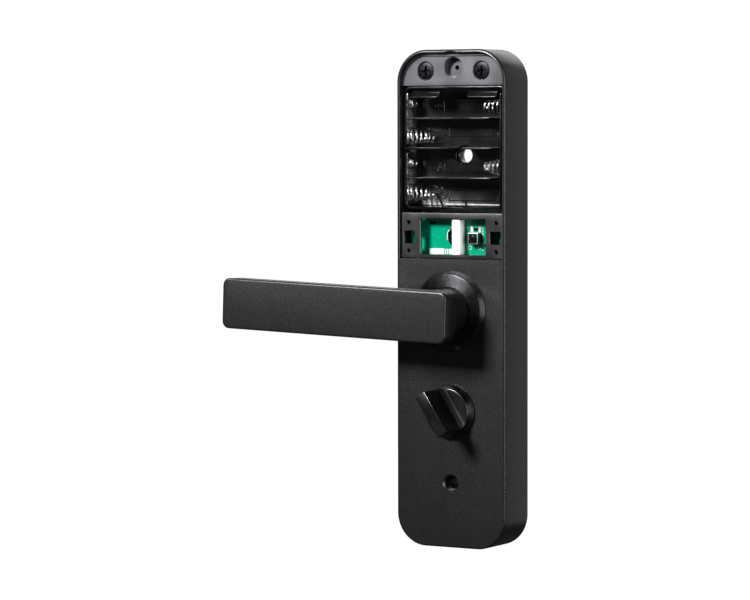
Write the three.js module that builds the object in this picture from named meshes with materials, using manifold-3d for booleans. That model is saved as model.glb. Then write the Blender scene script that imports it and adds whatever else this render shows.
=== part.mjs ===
// Inside unit of a keypad door lock: an upright housing with an open battery bay and board
// window at the top, a lever handle in the middle and a thumbturn below it.
// Millimetres. +X is to the right seen from the room, +Z is up and +Y goes into the door.
// The origin is on the door's face, on the axis of the lever and its spindle. Depths are worked out
// with the housing's front at -24, and every finished piece is then moved so that the door's face is at 0.

import Module from "manifold-3d";
import * as THREE from "three";
import { mergeVertices } from "three/addons/utils/BufferGeometryUtils.js";

const wasm = await Module();
wasm.setup();

// ---------------------------------------------------------------- driving dimensions

const gap = 0.3; // left between pieces that touch
const past = 1; // how far a cutting tool runs past the face that it cuts
const doorFace = 1.7; // depth of the door's face while the pieces are worked out

const housing = {
  halfWidth: 32.4, top: 136, bottom: -124, front: -24, back: doorFace - 0.4, corner: 17,
  wall: 1.8, face: 2.6, frontEdge: 1.2, backEdge: 0.5,
};
const shelf = { bottom: 117.3, front: -21, thickness: 2.4 };
const shelfScrew = {
  x: 16.6, z: 124.9, seatRadius: 4.9, seatDepth: 3.4, holeRadius: 1.9, headRadius: 4.5, headHeight: 2.6,
  boss: 6.3, bossEnd: -14.6, post: 3.6,
};
const coverScrew = {
  z: 126.6, seatRadius: 5.4, seatDepth: 4.5, holeRadius: 1.15, boss: 7, bossEnd: -10.4, insertRadius: 2.4,
};
const recessBottom = 27;

const cell = { pitch: 15.6, topRow: 107.9, axis: -15.9 };
const tray = { front: -20.3, floorFront: -8.5, floorBack: -7.3, wall: 1.35, bottom: 52.8, top: 117 };
const trayRightRim = { left: 28.5, right: 29.8, front: -23.2, bottom: 54, top: 113 }; // taller than the left
const trayLip = { rootFront: -17.1, tipFront: -21.9, thickness: 0.9, tipHeight: 111, rootHeight: 116.9 };
const divider = { thickness: 1, front: -19.1, step: 0.8, stepEnd: -15.2, right: 20.3 };
const contact = {
  thickness: 0.4, nubRadius: 2.75, nubHeight: 2.6, front: -19.8, back: -11.2, halfHeight: 5.8,
};
const batterySpring = {
  wire: 0.4, baseRadius: 4.5, tipRadius: 2.6, length: 12.4, turns: 5, drop: [1.5, 1.5, 2, 0],
};
const lead = { radius: 0.6, redX: 21, blackX: 25 };

const bezel = { front: -22.4, thickness: 1.5, top: 51, bottom: 27.3, foot: -15.9 };
const bezelPilot = { x: 26.1, heights: [30.9, 45.9], radius: 1.1, depth: 3 };
const boardWindow = { left: -18.9, right: 19.8, bottom: 29.1, top: 47.8, lip: 1.1 };
const coverSlot = { inner: 22.5, outer: 28.8, bottom: 34.9, top: 41.4 };
const board = { front: -15.5, thickness: 1.6, halfWidth: 28.6, bottom: 20, top: 50.2 };
const connector = { left: -0.5, right: 4, bottom: 29.1, top: 47.4, front: -21.5 };
const resetSwitch = {
  x: 11, z: 37.8, size: 6, front: -19.1, cover: 0.3,
  plungerRadius: 1.7, plungerTip: -20.4, plungerFoot: -16.8,
};

const backPlate = {
  front: doorFace - 3, back: doorFace - 1.4, upperBoltRadius: 5.2, lowerBoltRadius: 3.4, spindleRadius: 6.6,
  tailRadius: 5,
};
const gasket = { outer: 2.8, inner: 7, front: doorFace - 1.1, back: doorFace };
const cableOutlet = { halfWidth: 4.6, bottom: 37.8, top: 42.2, core: 2.1, flange: 3.6, flangeThickness: 0.8 };
const upperBolt = { z: 80.9, radius: 3.8, seatRadius: 5.15, seat: -7.4, boss: 6.4, bossEnd: -4 };
const lowerBolt = { z: -90.2, seatRadius: 3.9, seatDepth: 3.7, radius: 3, boss: 6.5 };
const plateScrews = [[-21.5, 12], [21.5, 12], [-21.5, -108], [21.5, -108]];
const boardScrews = [[-24.5, 23.5], [24.5, 23.5]];
const cassetteScrews = [[-13.5, -13.5], [13.5, -13.5], [-13.5, 13.5], [13.5, 13.5]];

const rosette = { base: 21, rim: 19.4, front: -26.9, bore: 12.3, sleeve: 15.7 };
const lever = {
  length: 136.6, height: 26.9, corner: 5, centreX: -55.65, centreZ: 0.1, rise: 1.96,
  front: -52, back: -41, edge: 1.1, neck: 11.8, journal: 9.5, hub: 8.5, end: -4.4,
};
const leverTurn = 45; // degrees from rest down to the stop
const grubScrew = { depth: -32, hole: 2.6, radius: 2.3, bottom: -11.4, top: -4.4, hexRadius: 1.25 };
const spindle = { side: 8, start: -40, end: doorFace + 42, chamfer: 0.8 };
const cassette = { half: 17.6, front: -17.7, back: -15.7, pinCircle: 15, pinRadius: 1.5, pinEnd: -6.9 };
const cam = { front: -9.3, back: -6.7, radius: 12.7, lugTip: 16.6, lugHalf: 2.6, flat: 7.3 };
const returnSpring = { wire: 0.75, radius: 10.6, start: -14.4, end: -10.3, turns: 2.5, leg: 15.8 };

const thumbturn = {
  z: -52.7, base: 14.4, rim: 12.5, discFront: -28.4, paddleFront: -44.8, paddleThick: 6.4,
  tilt: 33, shaft: 5.5, end: -9, bore: 8, edge: 0.5,
};
const tailpiece = { side: 4.5, start: -20.6, end: doorFace + 42, chamfer: 0.6 };

// ---------------------------------------------------------------- materials

function finish(color, roughness, metalness) {
  return new THREE.MeshStandardMaterial({ color, roughness, metalness });
}

const materials = {
  blackPaint: () => finish(0x1b1b1d, 0.45, 0.2),
  blackPlastic: () => finish(0x141416, 0.5, 0),
  steel: () => finish(0xb4b6ba, 0.35, 1),
  blackSteel: () => finish(0x1a1a1b, 0.4, 0.7),
  nickel: () => finish(0xd8d6d0, 0.2, 1),
  brass: () => finish(0xc2a15a, 0.35, 1),
  rubber: () => finish(0x1e1e1e, 0.9, 0),
  solderMask: () => finish(0x0f8a58, 0.4, 0),
  whiteNylon: () => finish(0xf2f1ec, 0.5, 0),
  acetal: () => finish(0x1c1c1d, 0.4, 0),
  redWire: () => finish(0xb02420, 0.5, 0),
  blackWire: () => finish(0x151515, 0.5, 0),
};

// ---------------------------------------------------------------- shapes and solids

function polygon(points) {
  return new THREE.Shape(points.map(([x, z]) => new THREE.Vector2(x, z)));
}

function circle(x, z, radius) {
  return new THREE.Shape().absarc(x, z, radius, 0, 2 * Math.PI, false);
}

function roundedRect(left, right, bottom, top, radius) {
  const shape = new THREE.Shape();
  const quarter = Math.PI / 2;
  shape.absarc(right - radius, bottom + radius, radius, -quarter, 0, false);
  shape.absarc(right - radius, top - radius, radius, 0, quarter, false);
  shape.absarc(left + radius, top - radius, radius, quarter, 2 * quarter, false);
  shape.absarc(left + radius, bottom + radius, radius, 2 * quarter, 3 * quarter, false);
  shape.closePath();
  return shape;
}

// The housing's outline, moved inwards by an inset.
function housingOutline(inset) {
  const { halfWidth, bottom, top, corner } = housing;
  return roundedRect(-halfWidth + inset, halfWidth - inset, bottom + inset, top - inset, corner - inset);
}

// A closed geometry as a solid: vertices merged, slivers dropped and faces outwards.
function solid(geometry) {
  const bare = geometry.clone();
  bare.deleteAttribute("normal");
  bare.deleteAttribute("uv");
  const merged = mergeVertices(bare, 1e-4);
  const corners = [];
  for (let i = 0; i < merged.index.count; i += 3) {
    const [a, b, c] = [0, 1, 2].map((step) => merged.index.getX(i + step));
    if (a !== b && b !== c && c !== a) corners.push(a, b, c);
  }
  const vertProperties = new Float32Array(merged.attributes.position.array);
  const build = (triVerts) => new wasm.Manifold(new wasm.Mesh({ numProp: 3, vertProperties, triVerts }));
  const made = build(new Uint32Array(corners));
  return made.volume() > 0 ? made : build(new Uint32Array(corners.reverse()));
}

// A flat outline in X and Z made into a slab between two depths, with its edges chamfered or rounded.
function slab(shape, front, back, { edge = 0, steps = 1, curve = 4 } = {}) {
  const geometry = new THREE.ExtrudeGeometry(shape, {
    depth: back - front - 2 * edge,
    bevelEnabled: edge > 0,
    bevelThickness: edge,
    bevelSize: edge,
    bevelOffset: -edge,
    bevelSegments: steps,
    curveSegments: curve,
  });
  geometry.rotateX(Math.PI / 2);
  geometry.translate(0, back - edge, 0);
  return solid(geometry);
}

function box(left, right, front, back, bottom, top) {
  const geometry = new THREE.BoxGeometry(right - left, back - front, top - bottom);
  geometry.translate((left + right) / 2, (front + back) / 2, (bottom + top) / 2);
  return solid(geometry);
}

function cylinder(x, z, radius, front, back, curve = 18) {
  const geometry = new THREE.CylinderGeometry(radius, radius, back - front, curve);
  geometry.translate(x, (front + back) / 2, z);
  return solid(geometry);
}

// A profile of [radius, depth] points turned about an axis along Y.
function turned(profile, { x = 0, z = 0, curve = 30 } = {}) {
  const points = profile.map(([radius, depth]) => new THREE.Vector2(radius, depth));
  const geometry = new THREE.LatheGeometry(points, curve);
  geometry.translate(x, 0, z);
  return solid(geometry);
}

function ring(inner, outer, front, back, place = {}) {
  const profile = [[inner, front], [outer, front], [outer, back], [inner, back], [inner, front]];
  return turned(profile, place);
}

// A round wire of a given radius swept along a curve.
function wire(path, radius, steps, sides = 6) {
  const section = new THREE.Shape();
  section.absarc(0, 0, radius, 0, 2 * Math.PI, false);
  const settings = { steps, extrudePath: path, bevelEnabled: false, curveSegments: sides };
  return solid(new THREE.ExtrudeGeometry(section, settings));
}

function join(...solids) {
  return solids.reduce((sum, piece) => sum.add(piece));
}

function cut(base, ...tools) {
  return tools.reduce((rest, tool) => rest.subtract(tool), base);
}

function mesh(name, body, material) {
  const { vertProperties, triVerts } = body.getMesh();
  const geometry = new THREE.BufferGeometry();
  geometry.setAttribute("position", new THREE.BufferAttribute(vertProperties, 3));
  geometry.setIndex(new THREE.BufferAttribute(triVerts, 1));
  geometry.translate(0, -doorFace, 0);
  geometry.computeVertexNormals();
  const made = new THREE.Mesh(geometry, material);
  made.name = name;
  return made;
}

// A screw along Y, its head towards the room when facing is -1 and towards the door when it is 1.
function screw({ x, z, headRadius, headHeight, shankRadius, shankLength, seat, facing }) {
  const head = seat + facing * headHeight;
  const tip = seat - facing * shankLength;
  const bevel = 0.3;
  const profile = [
    [0, tip], [shankRadius, tip], [shankRadius, seat], [headRadius, seat],
    [headRadius, head - facing * bevel], [headRadius - bevel, head], [0, head],
  ];
  const slot = headRadius * 0.55;
  const half = headRadius * 0.12;
  const depth = headHeight * 0.6;
  const [near, far] = [head - facing * depth, head + facing * past].sort((a, b) => a - b);
  return cut(
    turned(profile, { x, z, curve: 8 }),
    box(x - slot, x + slot, near, far, z - half, z + half),
    box(x - half, x + half, near, far, z - slot, z + slot),
  );
}

// ---------------------------------------------------------------- housing and what closes it

function housingBody() {
  const { front, back, wall, face, frontEdge, backEdge } = housing;
  const { bottom: shelfBottom, front: shelfFront } = shelf;
  const inside = (from, to) => slab(housingOutline(wall), from, to);
  const band = (from, to) => box(-40, 40, front - 5, back + 5, from, to);
  const outer = slab(housingOutline(0), front, back + 4, { edge: frontEdge, steps: 2 })
    .intersect(slab(housingOutline(0), front - 3, back, { edge: backEdge }));
  const shelfBack = shelfFront + shelf.thickness;
  const hollow = cut(
    outer,
    inside(shelfBack, back + past),
    inside(front + face, back + past).intersect(band(housing.bottom, shelfBottom)),
    inside(front - past, back + past).intersect(band(recessBottom, shelfBottom)),
    inside(front - past, shelfFront).intersect(band(shelfBottom - past, housing.top)),
  );

  const rootOfFace = front + face - 0.2; // bosses start a little inside the face
  const rootOfShelf = shelfFront + past;
  const behindPlate = backPlate.front - gap;
  const bosses = [
    ...[-1, 1].map((side) => {
      const { x, z, boss, bossEnd } = shelfScrew;
      return cylinder(side * x, z, boss, rootOfShelf, bossEnd);
    }),
    cylinder(0, coverScrew.z, coverScrew.boss, rootOfShelf, coverScrew.bossEnd),
    cylinder(0, lowerBolt.z, lowerBolt.boss, rootOfFace, behindPlate),
    ...plateScrews.map(([x, z]) => cylinder(x, z, 3.2, rootOfFace, behindPlate, 10)),
    ...boardScrews.map(([x, z]) => cylinder(x, z, 2.6, rootOfFace, board.front - gap, 10)),
    ...cassetteScrews.map(([x, z]) => cylinder(x, z, 2.8, rootOfFace, cassette.front - gap, 10)),
  ];

  const shelfSeat = shelfFront + shelfScrew.seatDepth;
  const coverSeat = shelfFront + coverScrew.seatDepth;
  const holes = [
    ...[-1, 1].flatMap((side) => {
      const { x, z, seatRadius, holeRadius, bossEnd } = shelfScrew;
      const seat = cylinder(side * x, z, seatRadius, front, shelfSeat);
      return [seat, cylinder(side * x, z, holeRadius, front, bossEnd + past, 16)];
    }),
    cylinder(0, coverScrew.z, coverScrew.seatRadius, front, coverSeat),
    cylinder(0, coverScrew.z, coverScrew.holeRadius, front, coverSeat + 2, 16),
    cylinder(0, coverScrew.z, coverScrew.insertRadius + gap, coverSeat + 1.1, coverScrew.bossEnd + past, 16),
    cylinder(0, 0, rosette.sleeve + gap, front - past, front + face + 0.3, 30),
    cylinder(0, thumbturn.z, thumbturn.bore, front - past, front + face + 0.5),
    cylinder(0, lowerBolt.z, lowerBolt.seatRadius, front - past, front + lowerBolt.seatDepth),
    cylinder(0, lowerBolt.z, lowerBolt.radius, front, back),
    ...plateScrews.map(([x, z]) => cylinder(x, z, 1.6, -12, back, 8)),
    ...boardScrews.map(([x, z]) => cylinder(x, z, 1.3, -19.6, -14, 8)),
    ...cassetteScrews.map(([x, z]) => cylinder(x, z, 1.6, -21, -16, 8)),
  ];
  return cut(join(hollow, ...bosses), ...holes);
}

// The cable outlet's outline, moved outwards by a margin.
function outletOutline(margin) {
  const { halfWidth, bottom, top } = cableOutlet;
  const radius = (top - bottom) / 2 + margin - 0.1;
  return roundedRect(-halfWidth - margin, halfWidth + margin, bottom - margin, top + margin, radius);
}

function backPlateBody() {
  const { front, back, upperBoltRadius, lowerBoltRadius, spindleRadius, tailRadius } = backPlate;
  const posts = [-1, 1].map((side) => {
    const { x, z, post, bossEnd } = shelfScrew;
    return cylinder(side * x, z, post, bossEnd + gap, back - 0.5, 20);
  });
  const through = (x, z, radius, curve) => cylinder(x, z, radius, -16, back + past, curve);
  return cut(
    join(slab(housingOutline(housing.wall + gap), front, back), ...posts),
    ...[-1, 1].map((side) => through(side * shelfScrew.x, shelfScrew.z, shelfScrew.holeRadius, 16)),
    through(0, upperBolt.z, upperBoltRadius),
    through(0, lowerBolt.z, lowerBoltRadius),
    through(0, 0, spindleRadius),
    through(0, thumbturn.z, tailRadius),
    slab(outletOutline(cableOutlet.core + gap), front - past, back + past),
    ...plateScrews.map(([x, z]) => through(x, z, 1.6, 12)),
  );
}

function gasketBody() {
  const inner = housingOutline(gasket.inner);
  return cut(
    slab(housingOutline(gasket.outer), gasket.front, gasket.back),
    slab(inner, gasket.front - past, gasket.back + past),
  );
}

function grommetBody() {
  const { core, flange, flangeThickness } = cableOutlet;
  const [near, far] = [backPlate.front - gap, backPlate.back + gap];
  return cut(
    join(
      slab(outletOutline(core), near - 0.1, far + 0.1, { curve: 3 }),
      slab(outletOutline(flange), near - flangeThickness, near, { curve: 3 }),
      slab(outletOutline(flange), far, far + flangeThickness, { curve: 3 }),
    ),
    slab(outletOutline(0), near - 3, far + 3, { curve: 3 }),
  );
}

// ---------------------------------------------------------------- battery tray and its contacts

const rows = [0, 1, 2, 3].map((row) => cell.topRow - row * cell.pitch);
const dividerHeights = [0, 1, 2].map((row) => rows[row] - cell.pitch / 2);
const trayHalf = housing.halfWidth - housing.wall - gap;
const trayInner = trayHalf - tray.wall;
const contactFace = trayInner - gap - contact.thickness; // distance from the centre to a contact's face

// A tab along the bay's top edge that leans out towards the room, between two places across the tray.
function lipBody(left, right) {
  const { rootFront, tipFront, thickness, tipHeight, rootHeight } = trayLip;
  const profile = polygon([
    [tipFront, tipHeight], [tipFront + thickness, tipHeight],
    [rootFront + thickness, rootHeight], [rootFront, rootHeight],
  ]);
  return slab(profile, -right, -left).rotate([0, 0, 90]);
}

function trayBody() {
  const { front, floorFront, floorBack, wall, bottom, top } = tray;
  const { left: rimLeft, right: rimRight, front: rimFront, bottom: rimBottom, top: rimTop } = trayRightRim;
  const shell = cut(
    slab(roundedRect(-trayHalf, trayHalf, bottom, top, 4), front, floorBack),
    slab(roundedRect(-trayInner, trayInner, bottom + wall, top - wall, 1.2), front - past, floorFront),
  );
  const dividers = dividerHeights.flatMap((z) => {
    const [low, high] = [z - divider.thickness / 2, z + divider.thickness / 2];
    return [
      box(-trayInner - 0.2, divider.right, divider.front, floorFront + 0.2, low, high),
      box(-trayInner - 0.2, divider.stepEnd, divider.front - divider.step, divider.front + 0.2, low, high),
    ];
  });
  const notch = polygon([[-9, bottom - past], [9, bottom - past], [5.5, bottom + 4], [-5.5, bottom + 4]]);
  const slots = [dividerHeights[0], dividerHeights[2]].map((z) => {
    const [near, far] = [contact.front - gap, contact.back + gap];
    return box(-trayInner - 0.1, -contactFace + gap, near, far, z - 2, z + 2);
  });
  return cut(
    join(
      shell, ...dividers, lipBody(-25.6, -8.6), lipBody(8.2, 25.6),
      box(rimLeft, rimRight, rimFront, front + 0.5, rimBottom, rimTop),
      cylinder(0, upperBolt.z, upperBolt.boss, floorFront + 0.2, upperBolt.bossEnd),
    ),
    slab(notch, front - past, -12),
    cylinder(0, upperBolt.z, upperBolt.seatRadius, front - past, upperBolt.seat),
    cylinder(0, upperBolt.z, upperBolt.radius, front - past, upperBolt.bossEnd + past),
    ...slots,
  );
}

// A sprung plate on the left (-1) or right (1) wall, from one row's height down to another's,
// with a nub for each cell whose positive end meets it.
function contactBody(side, upperRow, lowerRow, nubRows) {
  const { nubRadius, nubHeight, halfHeight } = contact;
  const [near, far] = [contactFace, contactFace + contact.thickness];
  const [left, right] = side < 0 ? [-far, -near] : [near, far];
  const plate = box(left, right, contact.front, contact.back, lowerRow - halfHeight, upperRow + halfHeight);
  const nubs = nubRows.map((z) => {
    const nub = new THREE.CylinderGeometry(nubRadius - 0.4, nubRadius, nubHeight + 0.1, 20);
    nub.rotateZ(side * Math.PI / 2);
    nub.translate(side * (contactFace - nubHeight / 2 + 0.05), cell.axis, z);
    return solid(nub);
  });
  return join(plate, ...nubs);
}

// A conical coil along X from the wall inwards: one flat turn at the wall, then an even climb.
class ConicalCoil extends THREE.Curve {
  constructor(side, z) {
    super();
    this.side = side;
    this.z = z;
  }

  getPoint(t, target = new THREE.Vector3()) {
    const { baseRadius, tipRadius, length, turns, wire: wireRadius } = batterySpring;
    const climb = Math.max(0, (t * turns - 0.8) / (turns - 0.8));
    const radius = baseRadius + (tipRadius - baseRadius) * climb;
    const turn = 2 * Math.PI * turns * t;
    const base = contactFace - gap - wireRadius;
    const x = this.side * (base - climb * (length - 2 * wireRadius));
    return target.set(x, cell.axis + radius * Math.cos(turn), this.z + radius * Math.sin(turn));
  }
}

function batterySpringBody(side, z) {
  return wire(new ConicalCoil(side, z), batterySpring.wire, Math.round(batterySpring.turns * 7), 2);
}

// ---------------------------------------------------------------- board and bezel

function bezelBody() {
  const { front, thickness, top, bottom, foot } = bezel;
  const { left, right, lip } = boardWindow;
  const half = trayHalf;
  const well = roundedRect(left - lip, right + lip, boardWindow.bottom - lip, boardWindow.top + lip, 1.4);
  const opening = roundedRect(left, right, boardWindow.bottom, boardWindow.top, 0.5);
  const feet = [-1, 1].flatMap((side) => [[bottom, bottom + 3], [top - 3, top]].map(([low, high]) => {
    const [near, far] = side < 0 ? [-half, -half + 3] : [half - 3, half];
    return box(near, far, front + 0.5, foot, low, high);
  }));
  const pilots = [-1, 1].flatMap((side) => {
    const { x, heights, radius, depth } = bezelPilot;
    return heights.map((z) => cylinder(side * x, z, radius, front - past, front + depth, 12));
  });
  const slots = [-1, 1].map((side) => {
    const { inner, outer } = coverSlot;
    const [near, far] = side < 0 ? [-outer, -inner] : [inner, outer];
    return box(near, far, front - past, front + thickness + past, coverSlot.bottom, coverSlot.top);
  });
  return cut(
    join(
      slab(roundedRect(-half, half, bottom, top, 0.6), front, front + thickness, { curve: 2 }),
      slab(well, front + 0.5, foot, { curve: 3 }),
      ...feet,
    ),
    slab(opening, front - past, foot + past, { curve: 3 }),
    ...pilots,
    ...slots,
  );
}

function boardBody() {
  const { front, thickness, halfWidth, bottom, top } = board;
  return cut(
    slab(roundedRect(-halfWidth, halfWidth, bottom, top, 1), front, front + thickness, { curve: 3 }),
    ...boardScrews.map(([x, z]) => cylinder(x, z, 1.5, front - past, front + thickness + past, 16)),
  );
}

function connectorBody() {
  const { left, right, bottom, top, front } = connector;
  return slab(roundedRect(left, right, bottom, top, 0.6), front, board.front - gap, { edge: 0.2, curve: 3 });
}

// A square outline about the reset switch's middle.
function switchOutline(half, corner) {
  const { x, z } = resetSwitch;
  return roundedRect(x - half, x + half, z - half, z + half, corner);
}

function resetSwitchBody() {
  const { x, z, size, front, plungerRadius, plungerFoot } = resetSwitch;
  const body = slab(switchOutline(size / 2, 0.4), front, board.front - gap, { curve: 3 });
  return cut(body, cylinder(x, z, plungerRadius + gap, front - past, plungerFoot + 0.6, 14));
}

function resetCoverBody() {
  const { x, z, size, front, cover, plungerRadius } = resetSwitch;
  const plate = slab(switchOutline(size / 2 - 0.1, 0.3), front - gap - cover, front - gap, { curve: 3 });
  return cut(plate, cylinder(x, z, plungerRadius + gap, front - 2, front, 14));
}

function plungerBody() {
  const { x, z, plungerRadius, plungerTip, plungerFoot } = resetSwitch;
  const profile = [[0, plungerFoot], [plungerRadius, plungerFoot], [plungerRadius, plungerTip + 0.2],
    [plungerRadius - 0.2, plungerTip], [0, plungerTip]];
  return turned(profile, { x, z, curve: 14 });
}

// ---------------------------------------------------------------- lever, cassette and return spring

// A hub outline with a flat on each side, which carries the cam.
function doubleFlat(radius, flat) {
  return slab(circle(0, 0, radius), cam.front - 2 * gap, lever.end + past, { curve: 12 })
    .intersect(box(-flat, flat, -20, 5, -20, 20));
}

function leverBody() {
  const { length, height, corner, centreX, centreZ, rise, front, back, edge } = lever;
  const { neck, journal, hub, end } = lever;
  const outline = roundedRect(-length / 2, length / 2, -height / 2, height / 2, corner);
  const tilt = (body) => body.rotate([0, rise, 0]).translate([centreX, 0, centreZ]);
  const bar = tilt(slab(outline, front, back, { edge, steps: 2, curve: 4 }));
  const flareEnd = neck + 6.2;
  const flare = turned([
    [0, back + 0.5], [flareEnd, back + 0.5], [neck + 3.2, back + 1.6], [neck + 1.2, back + 3.8],
    [neck + 0.2, back + 6.4], [neck, back + 9], [0, back + 9],
  ]).intersect(tilt(slab(outline, front, back + 11, { curve: 4 })));
  const shoulder = rosette.front + 0.6;
  const journalEnd = cassette.back + 0.2;
  const stem = turned([
    [0, back - past], [neck, back - past], [neck, shoulder], [journal, shoulder], [journal, journalEnd],
    [hub, journalEnd], [hub, cam.front - gap], [0, cam.front - gap],
  ]);
  const tail = doubleFlat(hub, cam.flat);
  const half = spindle.side / 2 + gap;
  const grub = new THREE.CylinderGeometry(grubScrew.hole, grubScrew.hole, 12, 16);
  grub.rotateX(Math.PI / 2).translate(0, grubScrew.depth, -9);
  const keptEnd = box(-20, 20, end, 20, -20, 20);
  return cut(
    join(bar, flare, stem, tail),
    keptEnd,
    box(-half, half, spindle.start - gap, 5, -half, half),
    ring(7.4, 12, -6.4, -5),
    solid(grub),
  );
}

function grubScrewBody() {
  const { depth, radius, bottom, top, hexRadius } = grubScrew;
  const profile = [[0, bottom], [radius, bottom], [radius, top - 0.6], [radius - 0.6, top], [0, top]];
  const hexSocket = new THREE.CylinderGeometry(hexRadius, hexRadius, 4, 6).translate(0, bottom, 0);
  const upright = cut(turned(profile, { curve: 16 }), solid(hexSocket));
  return upright.rotate([90, 0, 0]).translate([0, depth, 0]);
}

function squareBar(side, start, end, chamfer) {
  const half = side / 2;
  const square = polygon([[-half, -half], [half, -half], [half, half], [-half, half]]);
  return slab(square, start, end, { edge: chamfer });
}

function rosetteBody() {
  const { base, rim, front, bore, sleeve } = rosette;
  const seat = housing.front - gap;
  return turned([
    [bore, front + 0.7], [bore + 0.5, front + 0.3], [rim - 0.8, front], [rim, front + 0.25],
    [base, seat - 0.5], [base, seat], [sleeve, seat], [sleeve, -20.2], [bore, -20.2], [bore, front + 0.7],
  ]);
}

function leverBushingBody() {
  const inner = lever.journal + 0.25;
  const outer = rosette.bore - gap;
  return turned([
    [inner, -26], [outer, -26], [outer, -19.9], [15.4, -19.9], [15.4, -18], [inner, -18], [inner, -26],
  ]);
}

const pinClearance = gap + cam.lugHalf + cassette.pinRadius;
const pinAngle = THREE.MathUtils.radToDeg(Math.asin(pinClearance / cassette.pinCircle));
// Seen from the room, anticlockwise from +X: the two stops either side of the lug, and the spring's post.
const stopPins = [-90 - pinAngle, -90 + leverTurn + pinAngle, 90];

function cassetteBody() {
  const { half, front, back, pinCircle, pinRadius, pinEnd } = cassette;
  const pins = stopPins.map((degrees) => {
    const angle = THREE.MathUtils.degToRad(degrees);
    const [x, z] = [pinCircle * Math.cos(angle), pinCircle * Math.sin(angle)];
    return cylinder(x, z, pinRadius, front + 0.5, pinEnd, 10);
  });
  return cut(
    join(slab(roundedRect(-half, half, -half, half, 4), front, back, { curve: 4 }), ...pins),
    cylinder(0, 0, 10, front - past, back + past, 30),
    ...cassetteScrews.map(([x, z]) => cylinder(x, z, 1.6, front - past, back + past, 8)),
  );
}

function camBody() {
  const { front, back, radius, lugTip, lugHalf, flat } = cam;
  const bore = slab(circle(0, 0, lever.hub + gap), front - past, back + past, { curve: 12 })
    .intersect(box(-flat - gap, flat + gap, -20, 5, -20, 20));
  const lug = box(-lugHalf, lugHalf, front, back, -lugTip, -10);
  return cut(join(cylinder(0, 0, radius, front, back, 24), lug), bore);
}

// A torsion coil about the spindle's axis, whose first end runs out straight past its post.
class TorsionCoil extends THREE.Curve {
  getPoint(t, target = new THREE.Vector3()) {
    const { radius, start, end, turns, leg } = returnSpring;
    const legShare = 0.06;
    const startAngle = THREE.MathUtils.degToRad(100);
    const along = Math.max(0, (t - legShare) / (1 - legShare));
    const reach = t < legShare ? leg + (radius - leg) * (t / legShare) : radius;
    const angle = startAngle + 2 * Math.PI * turns * along;
    return target.set(reach * Math.cos(angle), start + (end - start) * along, reach * Math.sin(angle));
  }
}

function leverCirclipBody() {
  return cut(ring(7.7, 10, -6.1, -5.3, { curve: 20 }), box(-2.5, 2.5, -10, 0, 0, 20));
}

// ---------------------------------------------------------------- thumbturn, about its own axis

function knobBody() {
  const { base, rim, discFront, paddleFront, paddleThick, tilt, shaft, end, edge } = thumbturn;
  const seat = housing.front - gap;
  const disc = turned([
    [0, seat], [base, seat], [base, seat - 0.6],
    [rim, discFront + 0.4], [rim - 0.4, discFront], [0, discFront],
  ]);
  const half = paddleThick / 2;
  const outline = roundedRect(-half, half, -rim, rim, 0.6);
  const paddle = slab(outline, paddleFront, discFront + 0.4, { edge, curve: 3 })
    .intersect(cylinder(0, 0, rim - 0.1, paddleFront - past, discFront + past, 40))
    .rotate([0, -tilt, 0]);
  const barrel = cylinder(0, 0, shaft, seat - 0.5, end);
  const bore = tailpiece.side / 2 + gap;
  return cut(
    join(disc, paddle, barrel),
    box(-bore, bore, tailpiece.start - gap, end + past, -bore, bore),
    ring(4.6, 8, -18.6, -17.2),
  );
}

function thumbturnBushingBody() {
  const inner = thumbturn.shaft + 0.25;
  const outer = thumbturn.bore - gap;
  const face = housing.front + housing.face + gap;
  return turned([
    [inner, -23.9], [outer, -23.9], [outer, face],
    [10.5, face], [10.5, -19.4], [inner, -19.4], [inner, -23.9],
  ]);
}

function thumbturnCirclipBody() {
  return cut(ring(4.9, 7.4, -18.3, -17.5, { curve: 20 }), box(-1.8, 1.8, -20, 0, 0, 10));
}

// ---------------------------------------------------------------- assembly

const lock = new THREE.Group();
const add = (group, name, body, material) => group.add(mesh(name, body, material));
const numbered = (name, index) => `${name}_${index + 1}`;

add(lock, "housing", housingBody(), materials.blackPaint());
add(lock, "back_plate", backPlateBody(), materials.steel());
add(lock, "door_gasket", gasketBody(), materials.rubber());
add(lock, "cable_grommet", grommetBody(), materials.rubber());
plateScrews.forEach(([x, z], index) => {
  const sizes = { headRadius: 2.6, headHeight: 1, shankRadius: 1.3, shankLength: 9, facing: 1 };
  const body = screw({ x, z, seat: backPlate.back + gap, ...sizes });
  add(lock, numbered("back_plate_screw", index), body, materials.steel());
});
[-1, 1].forEach((side, index) => {
  const { x, z, headRadius, headHeight, seatDepth } = shelfScrew;
  const sizes = { headRadius, headHeight, shankRadius: 1.6, shankLength: 10.5, facing: -1 };
  const body = screw({ x: side * x, z, seat: shelf.front + seatDepth - gap, ...sizes });
  add(lock, numbered("shelf_screw", index), body, materials.blackSteel());
});
const insert = ring(1.3, coverScrew.insertRadius, -15.1, -10.6, { z: coverScrew.z, curve: 16 });
add(lock, "cover_thread_insert", insert, materials.brass());

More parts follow.
